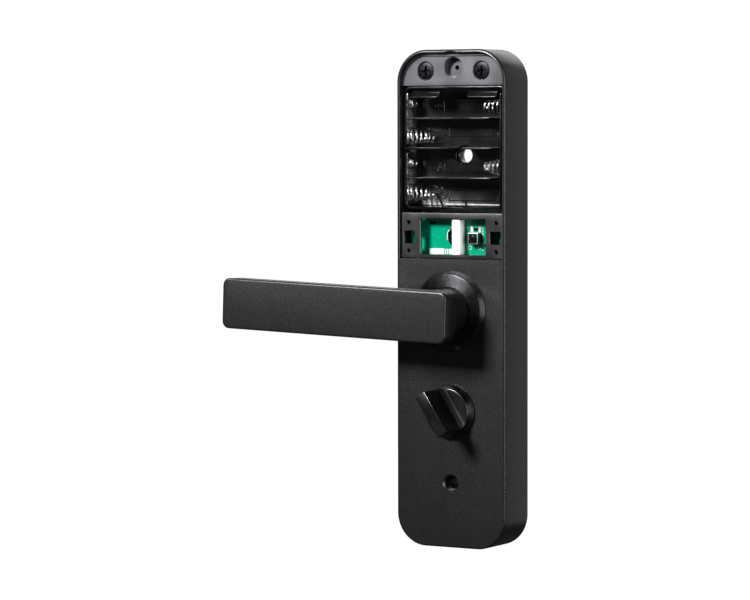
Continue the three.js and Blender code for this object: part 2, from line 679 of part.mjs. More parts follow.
add(lock, "battery_tray", trayBody(), materials.blackPlastic());
rows.forEach((z, row) => {
  const side = row % 2 === 0 ? 1 : -1;
  const body = batterySpringBody(side, z - batterySpring.drop[row]);
  add(lock, numbered("battery_spring", row), body, materials.nickel());
});
[
  ["terminal_negative", 1, rows[0], rows[0], []],
  ["bridge_rows_1_2", -1, rows[0], rows[1], [rows[0]]],
  ["bridge_rows_2_3", 1, rows[1], rows[2], [rows[1]]],
  ["bridge_rows_3_4", -1, rows[2], rows[3], [rows[2]]],
  ["terminal_positive", 1, rows[3], rows[3], [rows[3]]],
].forEach(([name, ...sizes]) => add(lock, name, contactBody(...sizes), materials.nickel()));
[
  ["battery_lead_red", lead.redX, materials.redWire()],
  ["battery_lead_black", lead.blackX, materials.blackWire()],
].forEach(([name, x, material]) => {
  const bend = [
    [0, -4.1, 66], [0, -4.1, 58], [0, -4.1, 52], [-1, -6, 48.5], [-2, -10, 46.5], [-2, -13.2, 46.5],
  ];
  const stops = bend.map(([across, depth, height]) => [x + across, depth, height]);
  const path = new THREE.CatmullRomCurve3(stops.map((stop) => new THREE.Vector3(...stop)));
  add(lock, name, wire(path, lead.radius, 10, 2), material);
});

add(lock, "board_bezel", bezelBody(), materials.blackPlastic());
add(lock, "control_board", boardBody(), materials.solderMask());
boardScrews.forEach(([x, z], index) => {
  const seat = board.front + board.thickness + gap;
  const sizes = { headRadius: 2.4, headHeight: 1.3, shankRadius: 1, shankLength: 5, facing: 1 };
  add(lock, numbered("board_screw", index), screw({ x, z, seat, ...sizes }), materials.steel());
});
add(lock, "cable_connector", connectorBody(), materials.whiteNylon());
const jumper = polygon([[-0.9, 34.2], [-3.6, 34.2], [-5.2, 36.6], [-5.2, 40.6], [-3.6, 43], [-0.9, 43]]);
add(lock, "jumper_block", slab(jumper, -17.4, board.front - gap), materials.blackPlastic());
add(lock, "reset_switch_body", resetSwitchBody(), materials.blackPlastic());
add(lock, "reset_switch_cover", resetCoverBody(), materials.steel());
add(lock, "reset_plunger", plungerBody(), materials.blackPlastic());

const leverGroup = new THREE.Group();
add(leverGroup, "lever_rosette", rosetteBody(), materials.blackPaint());
add(leverGroup, "lever_bushing", leverBushingBody(), materials.acetal());
add(leverGroup, "cassette_plate", cassetteBody(), materials.steel());
cassetteScrews.forEach(([x, z], index) => {
  const sizes = { headRadius: 2.5, headHeight: 1.4, shankRadius: 1.3, shankLength: 5, facing: 1 };
  const body = screw({ x, z, seat: cassette.back + gap, ...sizes });
  add(leverGroup, numbered("cassette_screw", index), body, materials.steel());
});
add(leverGroup, "lever_handle", leverBody(), materials.blackPaint());
add(leverGroup, "lever_grub_screw", grubScrewBody(), materials.blackSteel());
const spindleBar = squareBar(spindle.side, spindle.start, spindle.end, spindle.chamfer);
add(leverGroup, "spindle", spindleBar, materials.steel());
add(leverGroup, "return_spring", wire(new TorsionCoil(), returnSpring.wire, 32, 2), materials.steel());
add(leverGroup, "return_cam", camBody(), materials.steel());
add(leverGroup, "lever_circlip", leverCirclipBody(), materials.blackSteel());
lock.add(leverGroup);

const thumbturnGroup = new THREE.Group();
thumbturnGroup.position.z = thumbturn.z;
const tail = squareBar(tailpiece.side, tailpiece.start, tailpiece.end, tailpiece.chamfer);
add(thumbturnGroup, "thumbturn_knob", knobBody(), materials.blackPaint());
add(thumbturnGroup, "thumbturn_bushing", thumbturnBushingBody(), materials.acetal());
add(thumbturnGroup, "thumbturn_washer", ring(5.8, 8.4, -19.1, -18.6, { curve: 20 }), materials.steel());
add(thumbturnGroup, "thumbturn_circlip", thumbturnCirclipBody(), materials.blackSteel());
add(thumbturnGroup, "tailpiece", tail, materials.steel());
lock.add(thumbturnGroup);

export default lock;
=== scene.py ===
import math

import bmesh
import bpy
from mathutils import Matrix, Vector


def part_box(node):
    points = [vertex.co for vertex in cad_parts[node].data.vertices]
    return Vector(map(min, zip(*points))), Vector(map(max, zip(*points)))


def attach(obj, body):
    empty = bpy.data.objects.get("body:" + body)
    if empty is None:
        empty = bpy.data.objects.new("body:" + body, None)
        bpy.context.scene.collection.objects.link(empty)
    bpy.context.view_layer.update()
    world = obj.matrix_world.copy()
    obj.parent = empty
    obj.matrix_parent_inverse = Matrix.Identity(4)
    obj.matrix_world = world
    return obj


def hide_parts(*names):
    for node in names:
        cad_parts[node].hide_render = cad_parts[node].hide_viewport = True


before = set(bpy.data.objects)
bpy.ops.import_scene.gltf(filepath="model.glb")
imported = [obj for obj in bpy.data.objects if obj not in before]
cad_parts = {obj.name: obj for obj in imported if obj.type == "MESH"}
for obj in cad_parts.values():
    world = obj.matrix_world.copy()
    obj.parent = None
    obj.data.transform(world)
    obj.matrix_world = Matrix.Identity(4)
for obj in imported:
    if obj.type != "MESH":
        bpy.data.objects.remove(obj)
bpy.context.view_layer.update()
print("frame loaded:", len(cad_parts), "CAD nodes")

# The modelling below is in millimetres: x to the right seen from the room, z up, y into the door.
# Depths are worked out with the housing's front at -24. A finished mesh is moved so that the door's
# face is at 0 and scaled to metres once, when its object is made.
doorFace = 1.7


def nodeBox(node):
    low, high = [[value * 1000 for value in corner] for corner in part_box(node)]
    low[1] += doorFace
    high[1] += doorFace
    return low, high


def middle(node):
    low, high = nodeBox(node)
    return [(a + b) / 2 for a, b in zip(low, high)]


def nodesNamed(start):
    return sorted(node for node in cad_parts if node.startswith(start))


# Colours and materials.


def hexColour(code):
    channels = [int(code[i:i + 2], 16) / 255 for i in (1, 3, 5)]
    return [c / 12.92 if c <= 0.04045 else ((c + 0.055) / 1.055) ** 2.4 for c in channels] + [1.0]


def addNode(tree, kind, settings=None, links=None):
    # settings: properties by name, or input values by socket name; links: input name to an output socket
    node = tree.nodes.new(kind)
    for name, value in (settings or {}).items():
        if hasattr(node, name) and name not in node.inputs:
            setattr(node, name, value)
        else:
            node.inputs[name].default_value = value
    for name, source in (links or {}).items():
        tree.links.new(source, node.inputs[name])
    return node


def startMaterial(name, settings):
    material = bpy.data.materials.new(name)
    material.use_nodes = True
    tree = material.node_tree
    shader = tree.nodes["Principled BSDF"]
    for socket, value in settings.items():
        shader.inputs[socket].default_value = value
    place = addNode(tree, "ShaderNodeTexCoord")
    inMillimetres = addNode(tree, "ShaderNodeMapping", {"Scale": (1000, 1000, 1000)},
                            {"Vector": place.outputs["Object"]})
    return material, tree, shader, inMillimetres.outputs["Vector"]


def ramp(tree, factor, stops):
    node = addNode(tree, "ShaderNodeValToRGB", links={"Fac": factor})
    for element, (position, colour) in zip(node.color_ramp.elements, stops):
        element.position = position
        element.color = colour
    return node.outputs["Color"]


def spread(tree, factor, low, high, fromLow=0.3, fromHigh=0.7):
    settings = {"From Min": fromLow, "From Max": fromHigh, "To Min": low, "To Max": high}
    return addNode(tree, "ShaderNodeMapRange", settings, {"Value": factor}).outputs["Result"]


def bumpFrom(tree, height, depthMm, strength=1.0):
    settings = {"Strength": strength, "Distance": depthMm * 0.001}
    return addNode(tree, "ShaderNodeBump", settings, {"Height": height}).outputs["Normal"]


def noise(tree, place, scale, detail):
    settings = {"Scale": scale, "Detail": detail}
    return addNode(tree, "ShaderNodeTexNoise", settings, {"Vector": place}).outputs["Fac"]


def feed(tree, shader, links):
    for name, source in links.items():
        tree.links.new(source, shader.inputs[name])


def dimmed(code, share):
    return [value * share for value in hexColour(code)[:3]] + [1]


def tones(tree, factor, low, dark, high, light):
    # a colour between two hex tones, by how far the factor is between low and high
    return ramp(tree, factor, [(low, hexColour(dark)), (high, hexColour(light))])


def sheen(tree, factor, roughness, below, above):
    return spread(tree, factor, roughness - below, roughness + above)


powderCoat = {
    "dark": "#0C0C0D", "light": "#121213", "roughness": 0.31,
    "grainMm": 0.55,  # the real grit is about 0.2 mm, drawn coarser so that it shows
    "mottleMm": 14, "depthMm": 0.014,
}


def powderCoatedAluminium(name, changes=None):
    # baked powder on die-cast aluminium: a fine orange-peel grain that breaks up every highlight
    look = {**powderCoat, **(changes or {})}
    material, tree, shader, place = startMaterial(name, {"Metallic": 0.0, "IOR": 1.5})
    grain = noise(tree, place, 1 / look["grainMm"], 3.0)
    both = addNode(tree, "ShaderNodeMix", {"data_type": "FLOAT", "Factor": 0.3})
    tree.links.new(grain, both.inputs[2])
    tree.links.new(noise(tree, place, 1 / look["mottleMm"], 2.0), both.inputs[3])
    feed(tree, shader, {
        "Base Color": tones(tree, both.outputs[0], 0.35, look["dark"], 0.65, look["light"]),
        "Roughness": sheen(tree, grain, look["roughness"], 0.05, 0.07),
        "Normal": bumpFrom(tree, grain, look["depthMm"])})
    return material


turnedCoat = {"dark": "#343436", "light": "#404042", "roughness": 0.37, "anisotropy": 0.85, "rotation": 0.25}


def turnedBlackAluminium(name):
    # turned on a lathe, then black anodised: the fine rings fan the light out from the centre
    look = turnedCoat
    settings = {"Metallic": 1.0, "Anisotropic": look["anisotropy"], "Anisotropic Rotation": look["rotation"]}
    material, tree, shader, place = startMaterial(name, settings)
    tangent = addNode(tree, "ShaderNodeTangent", {"direction_type": "RADIAL", "axis": "Y"})
    streaks = noise(tree, place, 0.8, 4.0)
    feed(tree, shader, {
        "Tangent": tangent.outputs["Tangent"],
        "Base Color": tones(tree, streaks, 0.3, look["dark"], 0.7, look["light"]),
        "Roughness": sheen(tree, streaks, look["roughness"], 0.05, 0.08)})
    return material


mouldedPlastic = {"dark": "#050506", "light": "#0A0A0B", "roughness": 0.17, "grainMm": 0.5, "depthMm": 0.006}


def mouldedBlackAbs(name, changes=None):
    # ABS from a spark-eroded mould: nearly even black with a soft sheen and a faint grain
    look = {**mouldedPlastic, **(changes or {})}
    material, tree, shader, place = startMaterial(name, {"IOR": 1.54})
    grain = noise(tree, place, 1 / look["grainMm"], 2.0)
    flow = noise(tree, place, 0.06, 2.0)
    feed(tree, shader, {
        "Base Color": tones(tree, flow, 0.35, look["dark"], 0.65, look["light"]),
        "Roughness": sheen(tree, flow, look["roughness"], 0.06, 0.08),
        "Normal": bumpFrom(tree, grain, look["depthMm"])})
    return material


def platedMetal(name, dark, light, roughness, patchMm, scratchMm=0.0):
    # bright plating over formed or pressed metal: patches of slightly different shine, with drawing lines
    material, tree, shader, place = startMaterial(name, {"Metallic": 1.0})
    patches = noise(tree, place, 1 / patchMm, 4.0)
    feed(tree, shader, {"Base Color": tones(tree, patches, 0.3, dark, 0.7, light),
                        "Roughness": sheen(tree, patches, roughness, 0.06, 0.1)})
    if scratchMm:
        stretched = addNode(tree, "ShaderNodeMapping", {"Scale": (1.0, 1.0, 0.04)}, {"Vector": place})
        lines = noise(tree, stretched.outputs["Vector"], 1 / scratchMm, 2.0)
        feed(tree, shader, {"Normal": bumpFrom(tree, lines, 0.004)})
    return material


def foamRubber(name, cellMm):
    # closed-cell foam rubber: dead matt with open pores where it was cut
    material, tree, shader, place = startMaterial(name, {"Roughness": 0.92, "IOR": 1.5})
    pores = addNode(tree, "ShaderNodeTexVoronoi", {"Scale": 1 / cellMm}, {"Vector": place})
    feed(tree, shader, {"Base Color": tones(tree, pores.outputs["Distance"], 0.0, "#0C0C0C", 0.6, "#1E1E1F"),
                        "Normal": bumpFrom(tree, pores.outputs["Distance"], 0.08)})
    return material


boardLook = {"mask": "#007F60", "pour": "#008D6B", "trackMm": 2.6, "roughness": 0.15, "depthMm": 0.03}


def solderMaskBoard(name):
    # green solder mask flooded over copper: tracks show as a lighter relief under a glossy skin
    look = boardLook
    material, tree, shader, place = startMaterial(name, {"Roughness": look["roughness"], "IOR": 1.5})
    flat = addNode(tree, "ShaderNodeMapping", {"Scale": (1, 0, 1)}, {"Vector": place})
    settings = {"distance": "MANHATTAN", "feature": "F1", "Scale": 1 / look["trackMm"], "Randomness": 0.9}
    cells = addNode(tree, "ShaderNodeTexVoronoi", settings, {"Vector": flat.outputs["Vector"]})
    tracks = spread(tree, cells.outputs["Distance"], 0.0, 1.0, 0.42, 0.47)
    feed(tree, shader, {"Base Color": tones(tree, tracks, 0.0, look["pour"], 1.0, look["mask"]),
                        "Normal": bumpFrom(tree, tracks, look["depthMm"], 0.6)})
    return material


def printedInk(name, colour):
    # screen-printed epoxy ink: chalky and slightly uneven at its edges
    material, tree, shader, place = startMaterial(name, {"Roughness": 0.6})
    stops = [(0.25, dimmed(colour, 0.8)), (0.6, hexColour(colour))]
    feed(tree, shader, {"Base Color": ramp(tree, noise(tree, place, 3.0, 3.0), stops)})
    return material


def mouldedNylon(name, colour, roughness):
    # nylon straight from the mould: milky, a little translucent, softly shiny
    settings = {"Roughness": roughness, "IOR": 1.53, "Subsurface Weight": 1.0, "Subsurface Scale": 0.003,
                "Subsurface Radius": (1, 1, 1)}
    material, tree, shader, place = startMaterial(name, settings)
    cloud = noise(tree, place, 0.3, 3.0)
    stops = [(0.3, dimmed(colour, 0.93)), (0.7, hexColour(colour))]
    feed(tree, shader, {"Base Color": ramp(tree, cloud, stops), "Normal": bumpFrom(tree, cloud, 0.01)})
    return material


def extrudedPvc(name, colour):
    # wire insulation drawn through a die: even colour, soft gloss that varies a little
    material, tree, shader, place = startMaterial(name, {"IOR": 1.52})
    lines = noise(tree, place, 1.5, 3.0)
    stops = [(0.3, dimmed(colour, 0.8)), (0.7, hexColour(colour))]
    feed(tree, shader, {"Base Color": ramp(tree, lines, stops),
                        "Roughness": spread(tree, lines, 0.3, 0.45)})
    return material


housingCoat = powderCoatedAluminium("powder_coated_aluminium")
leverCoat = powderCoatedAluminium("satin_painted_zinc", {
    "dark": "#0F0F10", "light": "#161617", "roughness": 0.33, "grainMm": 0.45, "depthMm": 0.007})
# the shelf's grey is painted reflection: dark satin plastic drawn lighter, as if it mirrored a lamp
shelfPaintedReflectionPlastic = mouldedBlackAbs("satin_abs_painted_reflection", {
    "dark": "#434346", "light": "#505054", "roughness": 0.34})
trayPlastic = mouldedBlackAbs("moulded_black_abs")
bezelPlastic = mouldedBlackAbs("textured_black_abs", {
    "dark": "#121214", "light": "#18181A", "roughness": 0.32})
turnedMetal = turnedBlackAluminium("turned_black_aluminium")
knobCoat = platedMetal("satin_black_chrome", "#48484A", "#4E4E50", 0.27, 20.0)
plungerPlastic = mouldedBlackAbs("glossy_black_nylon", {"roughness": 0.16})
switchSteel = platedMetal("blackened_spring_steel", "#2E2E30", "#3C3C3E", 0.3, 1.2)
nickel = platedMetal("nickel_plated_spring_steel", "#C4C3C0", "#E8E7E5", 0.18, 3.0)
zinc = platedMetal("zinc_plated_steel", "#9CA0A6", "#BCC0C6", 0.38, 5.0, 0.4)
blackOxide = platedMetal("black_oxide_steel", "#1C1C1E", "#2A2A2C", 0.36, 1.5)
brass = platedMetal("turned_brass", "#B08D45", "#C9A75C", 0.3, 1.5)
foam = foamRubber("closed_cell_foam_rubber", 0.5)
greenBoard = solderMaskBoard("green_solder_mask")
whiteInk = printedInk("screen_printed_ink", "#C9D6D0")
whiteNylon = mouldedNylon("moulded_white_nylon", "#FCFCFA", 0.4)
acetal = mouldedBlackAbs("moulded_black_acetal", {"roughness": 0.3})
tinPads = platedMetal("tinned_copper_pads", "#D9DAD8", "#F2F2F0", 0.35, 0.8)
redPvc = extrudedPvc("extruded_red_pvc", "#B5221C")
blackPvc = extrudedPvc("extruded_black_pvc", "#161616")
print("materials made:", len(bpy.data.materials))

# Mesh tools.


def faceOutward(bm):
    bmesh.ops.recalc_face_normals(bm, faces=bm.faces[:])


def addRoundedFace(bm, plan, inset, depth, segments, corner=None):
    # a rectangle with round corners in the x-z plane; plan is left, right, bottom, top and corner radius
    left, right, bottom, top, radius = plan
    radius = max(radius - inset, 0.05) if corner is None else corner
    left, right, bottom, top = left + inset, right - inset, bottom + inset, top - inset
    places = [(left, bottom), (right, bottom), (right, top), (left, top)]
    face = bm.faces.new([bm.verts.new((x, depth, z)) for x, z in places])
    bmesh.ops.bevel(bm, geom=face.verts[:], offset=radius, affect="VERTICES", segments=segments,
                    profile=0.5, material=-1)


def quarter(steps):
    # along a quarter circle of radius 1: what is left to its end, and what is gone since its start
    angles = [math.pi / 2 * index / steps for index in range(steps + 1)]
    return [(1 - math.sin(angle), 1 - math.cos(angle)) for angle in angles]


def roundedSteps(front, back, frontRound, backRound, steps):
    # pairs of inset and depth that round a slab's front and back edges by quarter circles
    pairs = [(0, front)]
    if frontRound:
        pairs = [(frontRound * left, front + frontRound * gone) for left, gone in quarter(steps)]
    if not backRound:
        return pairs + [(0, back)]
    return pairs + [(backRound * gone, back - backRound * left) for left, gone in quarter(steps)]


def stack(plan, levels, segments=10):
    # rounded outlines one behind the other, bridged into a closed shell
    bm = bmesh.new()
    rings = []
    for index, (inset, depth, *corner) in enumerate(levels):
        known = set(bm.edges)
        addRoundedFace(bm, plan, inset, depth, segments, *corner)
        fresh = [edge for edge in bm.edges if edge not in known]
        rings.append(fresh)
        if 0 < index < len(levels) - 1:
            covers = {face for edge in fresh for face in edge.link_faces}
            bmesh.ops.delete(bm, geom=list(covers), context="FACES_ONLY")
    for near, far in zip(rings, rings[1:]):
        bmesh.ops.bridge_loops(bm, edges=near + far)
    faceOutward(bm)
    return bm


def slab(plan, front, back, frontRound=0.0, backRound=0.0, steps=4, segments=10):
    return stack(plan, roundedSteps(front, back, frontRound, backRound, steps), segments)


def boxPlan(left, right, bottom, top, radius=0.3):
    return (left, right, bottom, top, radius)


def turned(profile, x=0.0, z=0.0, steps=96):
    # a profile of radius and depth spun about an axis along y
    bm = bmesh.new()
    verts = [bm.verts.new((radius, depth, 0)) for radius, depth in profile]
    edges = [bm.edges.new(pair) for pair in zip(verts, verts[1:])]
    bmesh.ops.spin(bm, geom=verts + edges, cent=(0, 0, 0), axis=(0, 1, 0), angle=math.tau, steps=steps,
                   use_merge=True, use_duplicate=False)
    bmesh.ops.remove_doubles(bm, verts=bm.verts[:], dist=0.0005)
    faceOutward(bm)
    bmesh.ops.translate(bm, verts=bm.verts[:], vec=(x, 0, z))
    return bm


def drum(radius, front, back, x=0.0, z=0.0, steps=48, mouth=0.0):
    # a plain cylinder; mouth flares its front end into a chamfer, for cutting a hole's rim
    start = [(0, front), (radius, front)]
    if mouth:
        start = [(0, front - 3), (radius + mouth + 3, front - 3), (radius, front + mouth)]
    return turned(start + [(radius, back), (0, back)], x, z, steps)


def washer(inner, outer, front, back, x, z, steps, edge):
    profile = [(inner + edge, front), (outer - edge, front), (outer, front + edge), (outer, back - edge),
               (outer - edge, back), (inner + edge, back), (inner, back - edge), (inner, front + edge)]
    return turned(profile + profile[:1], x, z, steps)


def arc(centreA, centreB, radius, start, end, steps):
    # points on a circle in profile space, from one angle in degrees to another
    angles = [math.radians(start + (end - start) * index / steps) for index in range(steps + 1)]
    return [(centreA + radius * math.cos(angle), centreB + radius * math.sin(angle)) for angle in angles]


def linked(name, data):
    thing = bpy.data.objects.new(name, data)
    bpy.context.scene.collection.objects.link(thing)
    return thing


def asObject(bm, name="working"):
    mesh = bpy.data.meshes.new(name)
    bm.to_mesh(mesh)
    bm.free()
    return linked(name, mesh)


def merged(parts):
    whole = bmesh.new()
    for part in parts:
        mesh = bpy.data.meshes.new("part")
        part.to_mesh(mesh)
        part.free()
        whole.from_mesh(mesh)
        bpy.data.meshes.remove(mesh)
    return whole


def combine(bm, tools, operation="DIFFERENCE"):
    # one exact boolean of a shell with several tools together
    base, tool = asObject(bm), asObject(merged(tools))
    cutter = base.modifiers.new("cut", "BOOLEAN")
    cutter.operation = operation
    cutter.solver = "EXACT"
    cutter.use_self = True
    cutter.object = tool
    depsgraph = bpy.context.evaluated_depsgraph_get()
    result = bmesh.new()
    result.from_mesh(base.evaluated_get(depsgraph).to_mesh())
    for thing in (base, tool):
        bpy.data.meshes.remove(thing.data)
    bmesh.ops.remove_doubles(result, verts=result.verts[:], dist=0.002)
    bmesh.ops.dissolve_degenerate(result, edges=result.edges[:], dist=0.001)
    return result


def oneByOne(bm, tools, operation="DIFFERENCE"):
    for tool in tools:
        bm = combine(bm, [tool], operation)
    return bm


def move(bm, matrix):
    bmesh.ops.transform(bm, matrix=matrix, verts=bm.verts[:])
    return bm


def turnBy(degrees, axis):
    return Matrix.Rotation(math.radians(degrees), 4, axis)


def strip(start, end, width, front, back):
    # a thin straight bar between two places in the x-z plane
    (x1, z1), (x2, z2) = start, end
    length = math.hypot(x2 - x1, z2 - z1)
    piece = slab(boxPlan(0, length, -width / 2, width / 2, width * 0.2), front, back, segments=2)
    turn = Matrix.Rotation(-math.atan2(z2 - z1, x2 - x1), 4, "Y")
    return move(piece, Matrix.Translation((x1, 0, z1)) @ turn)


def prism(points, front, back, edge):
    # a flat-sided block with rounded edges over an outline in the x-z plane
    bm = bmesh.new()
    face = bm.faces.new([bm.verts.new((x, front, z)) for x, z in points])
    grown = bmesh.ops.extrude_face_region(bm, geom=[face])["geom"]
    moved = [item for item in grown if isinstance(item, bmesh.types.BMVert)]
    bmesh.ops.translate(bm, verts=moved, vec=(0, back - front, 0))
    faceOutward(bm)
    return roundEdges(bm, edge, lambda chosen: True)


def wireAlong(points, radius):
    # a round wire along a list of places
    curve = bpy.data.curves.new("wire", "CURVE")
    curve.dimensions = "3D"
    curve.bevel_depth = radius
    curve.bevel_resolution = 3
    curve.use_fill_caps = True
    line = curve.splines.new("POLY")
    line.points.add(len(points) - 1)
    for point, place in zip(line.points, points):
        point.co = (*place, 1)
    holder = linked("wire", curve)
    bm = bmesh.new()
    bm.from_mesh(holder.evaluated_get(bpy.context.evaluated_depsgraph_get()).to_mesh())
    bpy.data.curves.remove(curve)
    faceOutward(bm)
    return bm


def roundEdges(bm, width, chosen):
    # bevels the sharp edges that a test picks
    sharp = math.radians(30)
    edges = [edge for edge in bm.edges
             if len(edge.link_faces) == 2 and edge.calc_face_angle(0) > sharp and chosen(edge)]
    bmesh.ops.bevel(bm, geom=edges, offset=width, affect="EDGES", segments=3, profile=0.5, material=-1,
                    clamp_overlap=True)
    return bm


def flatten(bm):
    bmesh.ops.dissolve_limit(bm, angle_limit=math.radians(0.2), verts=bm.verts[:], edges=bm.edges[:])


def finishPiece(name, bm, body, material, replaced=(), smoothAngle=32, extra=()):
    piece = asObject(move(bm, Matrix.Scale(0.001, 4) @ Matrix.Translation((0, -doorFace, 0))), name)
    mesh = piece.data
    for each in (material, *extra):
        mesh.materials.append(each)
    mesh.polygons.foreach_set("use_smooth", [True] * len(mesh.polygons))
    mesh.set_sharp_from_angle(angle=math.radians(smoothAngle))
    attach(piece, body)
    if replaced:
        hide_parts(*replaced)


# Camera, light and floor.

camera = {"place": (0.82706, -1.48944, 0.09335), "turn": 30.806, "down": 2.981, "roll": -0.12,
          "lens": 155.1, "sensor": 36.0, "clip": (0.05, 60)}


def makeCamera():
    data = bpy.data.cameras.new("camera")
    data.lens = camera["lens"]
    data.sensor_width = camera["sensor"]
    data.clip_start, data.clip_end = camera["clip"]
    holder = linked("camera", data)
    turn, tilt = turnBy(camera["turn"], "Z"), turnBy(90 - camera["down"], "X")
    holder.matrix_world = Matrix.Translation(camera["place"]) @ turn @ tilt @ turnBy(camera["roll"], "Z")
    bpy.context.scene.camera = holder


# a softbox per row: place in metres, size, power in watts, and where it looks if not at the middle
softboxes = {
    "key": {"place": (-0.68, -1.78, 1.16), "size": (0.55, 0.55), "power": 125},
    "right": {"place": (1.2, -0.55, 0.15), "size": (0.4, 0.9), "power": 10},
    "left_front": {"place": (-0.66, -1.42, 0.02), "size": (0.36, 0.9), "power": 0.04, "aim": (0, 0, 0.02)},
    "right_back": {"place": (1.0, 1.5, 0.0), "size": (1.6, 1.9), "power": 3.4},
    "top": {"place": (0.05, -0.2, 1.5), "size": (0.9, 0.9), "power": 3.0},
    "top_back": {"place": (-0.35, 1.3, 0.75), "size": (1.2, 0.5), "power": 3.4},
    "left_back": {"place": (-1.4, 1.3, 0.3), "size": (1.2, 1.6), "power": 3.0},
}
studio = {"worldSeen": 1.05, "worldLight": 0.05, "floorZ": -0.7, "floorSize": 40.0, "floorColour": "#2E2E2E"}
white = (1, 1, 1, 1)


def showWhite(tree, lightOutput, light):
    # the camera sees plain white paper, while the light that it gives back is set apart
    path = addNode(tree, "ShaderNodeLightPath")
    seen = addNode(tree, light, {"Color": white, "Strength": studio["worldSeen"]})
    mix = addNode(tree, "ShaderNodeMixShader", links={"Fac": path.outputs["Is Camera Ray"]})
    tree.links.new(lightOutput, mix.inputs[1])
    tree.links.new(seen.outputs[0], mix.inputs[2])
    return mix.outputs["Shader"]


def makeStudio():
    scene = bpy.context.scene
    world = bpy.data.worlds.new("studio")
    scene.world = world
    world.use_nodes = True
    tree = world.node_tree
    tree.nodes.clear()
    light = addNode(tree, "ShaderNodeBackground", {"Color": white, "Strength": studio["worldLight"]})
    surface = showWhite(tree, light.outputs["Background"], "ShaderNodeBackground")
    addNode(tree, "ShaderNodeOutputWorld", links={"Surface": surface})
    for name, box in softboxes.items():
        data = bpy.data.lights.new(name, "AREA")
        data.shape = "RECTANGLE"
        data.size, data.size_y = box["size"]
        data.energy = box["power"]
        lamp = linked(name, data)
        lamp.location = box["place"]
        direction = Vector(box.get("aim", (0, 0, 0))) - Vector(box["place"])
        lamp.rotation_euler = direction.to_track_quat("-Z", "Y").to_euler()
        lamp.visible_camera = False
    bm = bmesh.new()
    bmesh.ops.create_grid(bm, x_segments=1, y_segments=1, size=studio["floorSize"] / 2)
    bmesh.ops.translate(bm, verts=bm.verts[:], vec=(0, 0, studio["floorZ"]))
    floor = asObject(bm, "floor")
    settings = {"Roughness": 0.95, "Base Color": hexColour(studio["floorColour"])}
    paper, tree, shader, _ = startMaterial("pale_paper", settings)
    surface = showWhite(tree, shader.outputs["BSDF"], "ShaderNodeEmission")
    tree.links.new(surface, tree.nodes["Material Output"].inputs["Surface"])
    floor.data.materials.append(paper)
    scene.view_settings.view_transform = "Standard"


makeCamera()
makeStudio()
print("camera and studio made")

# Housing.

housing = {
    "plan": (-32.4, 32.4, -124, 136, 17), "front": -24, "back": doorFace - 0.4, "edge": 1.3, "backEdge": 0.7,
    "wall": 1.8, "face": 2.6, "recessBottom": 27, "rim": 0.35, "rimHalf": 30.8, "rimTop": 134.4,
    "shelfBottom": 117.3, "shelfFront": -21, "shelfBack": -18.6, "shelfHalf": 30.55, "shelfTop": 134.15,
    "screwX": 16.6, "screwZ": 124.9, "screwSeat": 4.9, "screwDepth": 3.4, "screwHole": 1.9,
    "coverZ": 126.6, "coverSeat": 5.4, "coverDepth": 4.5, "coverHole": 1.15, "coverBoss": 7.0,
    "boltZ": -90.2, "boltSeat": 3.9, "boltDepth": 3.7, "boltHole": 3.0, "boltBoss": 6.5,
    "screwBoss": 6.3, "insertHole": 2.7, "leverHole": 16, "knobHole": 8, "knobZ": -52.7,
    "ledge": (-19, 21.5, 132.6, 133.3, 0.3),
}
# first words of the screws' names, radius and end of their bosses, radius, start and end of their holes
innerScrews = (
    ("back_plate_screw", 3.2, doorFace - 3.3, 1.6, -12, 2),
    ("board_screw", 2.6, -15.8, 1.3, -19.6, -14),
    ("cassette_screw", 2.8, -18.0, 1.6, -21, -16),
)


def insetPlan(plan, inset):
    left, right, bottom, top, radius = plan
    return (left + inset, right - inset, bottom + inset, top - inset, radius - inset)


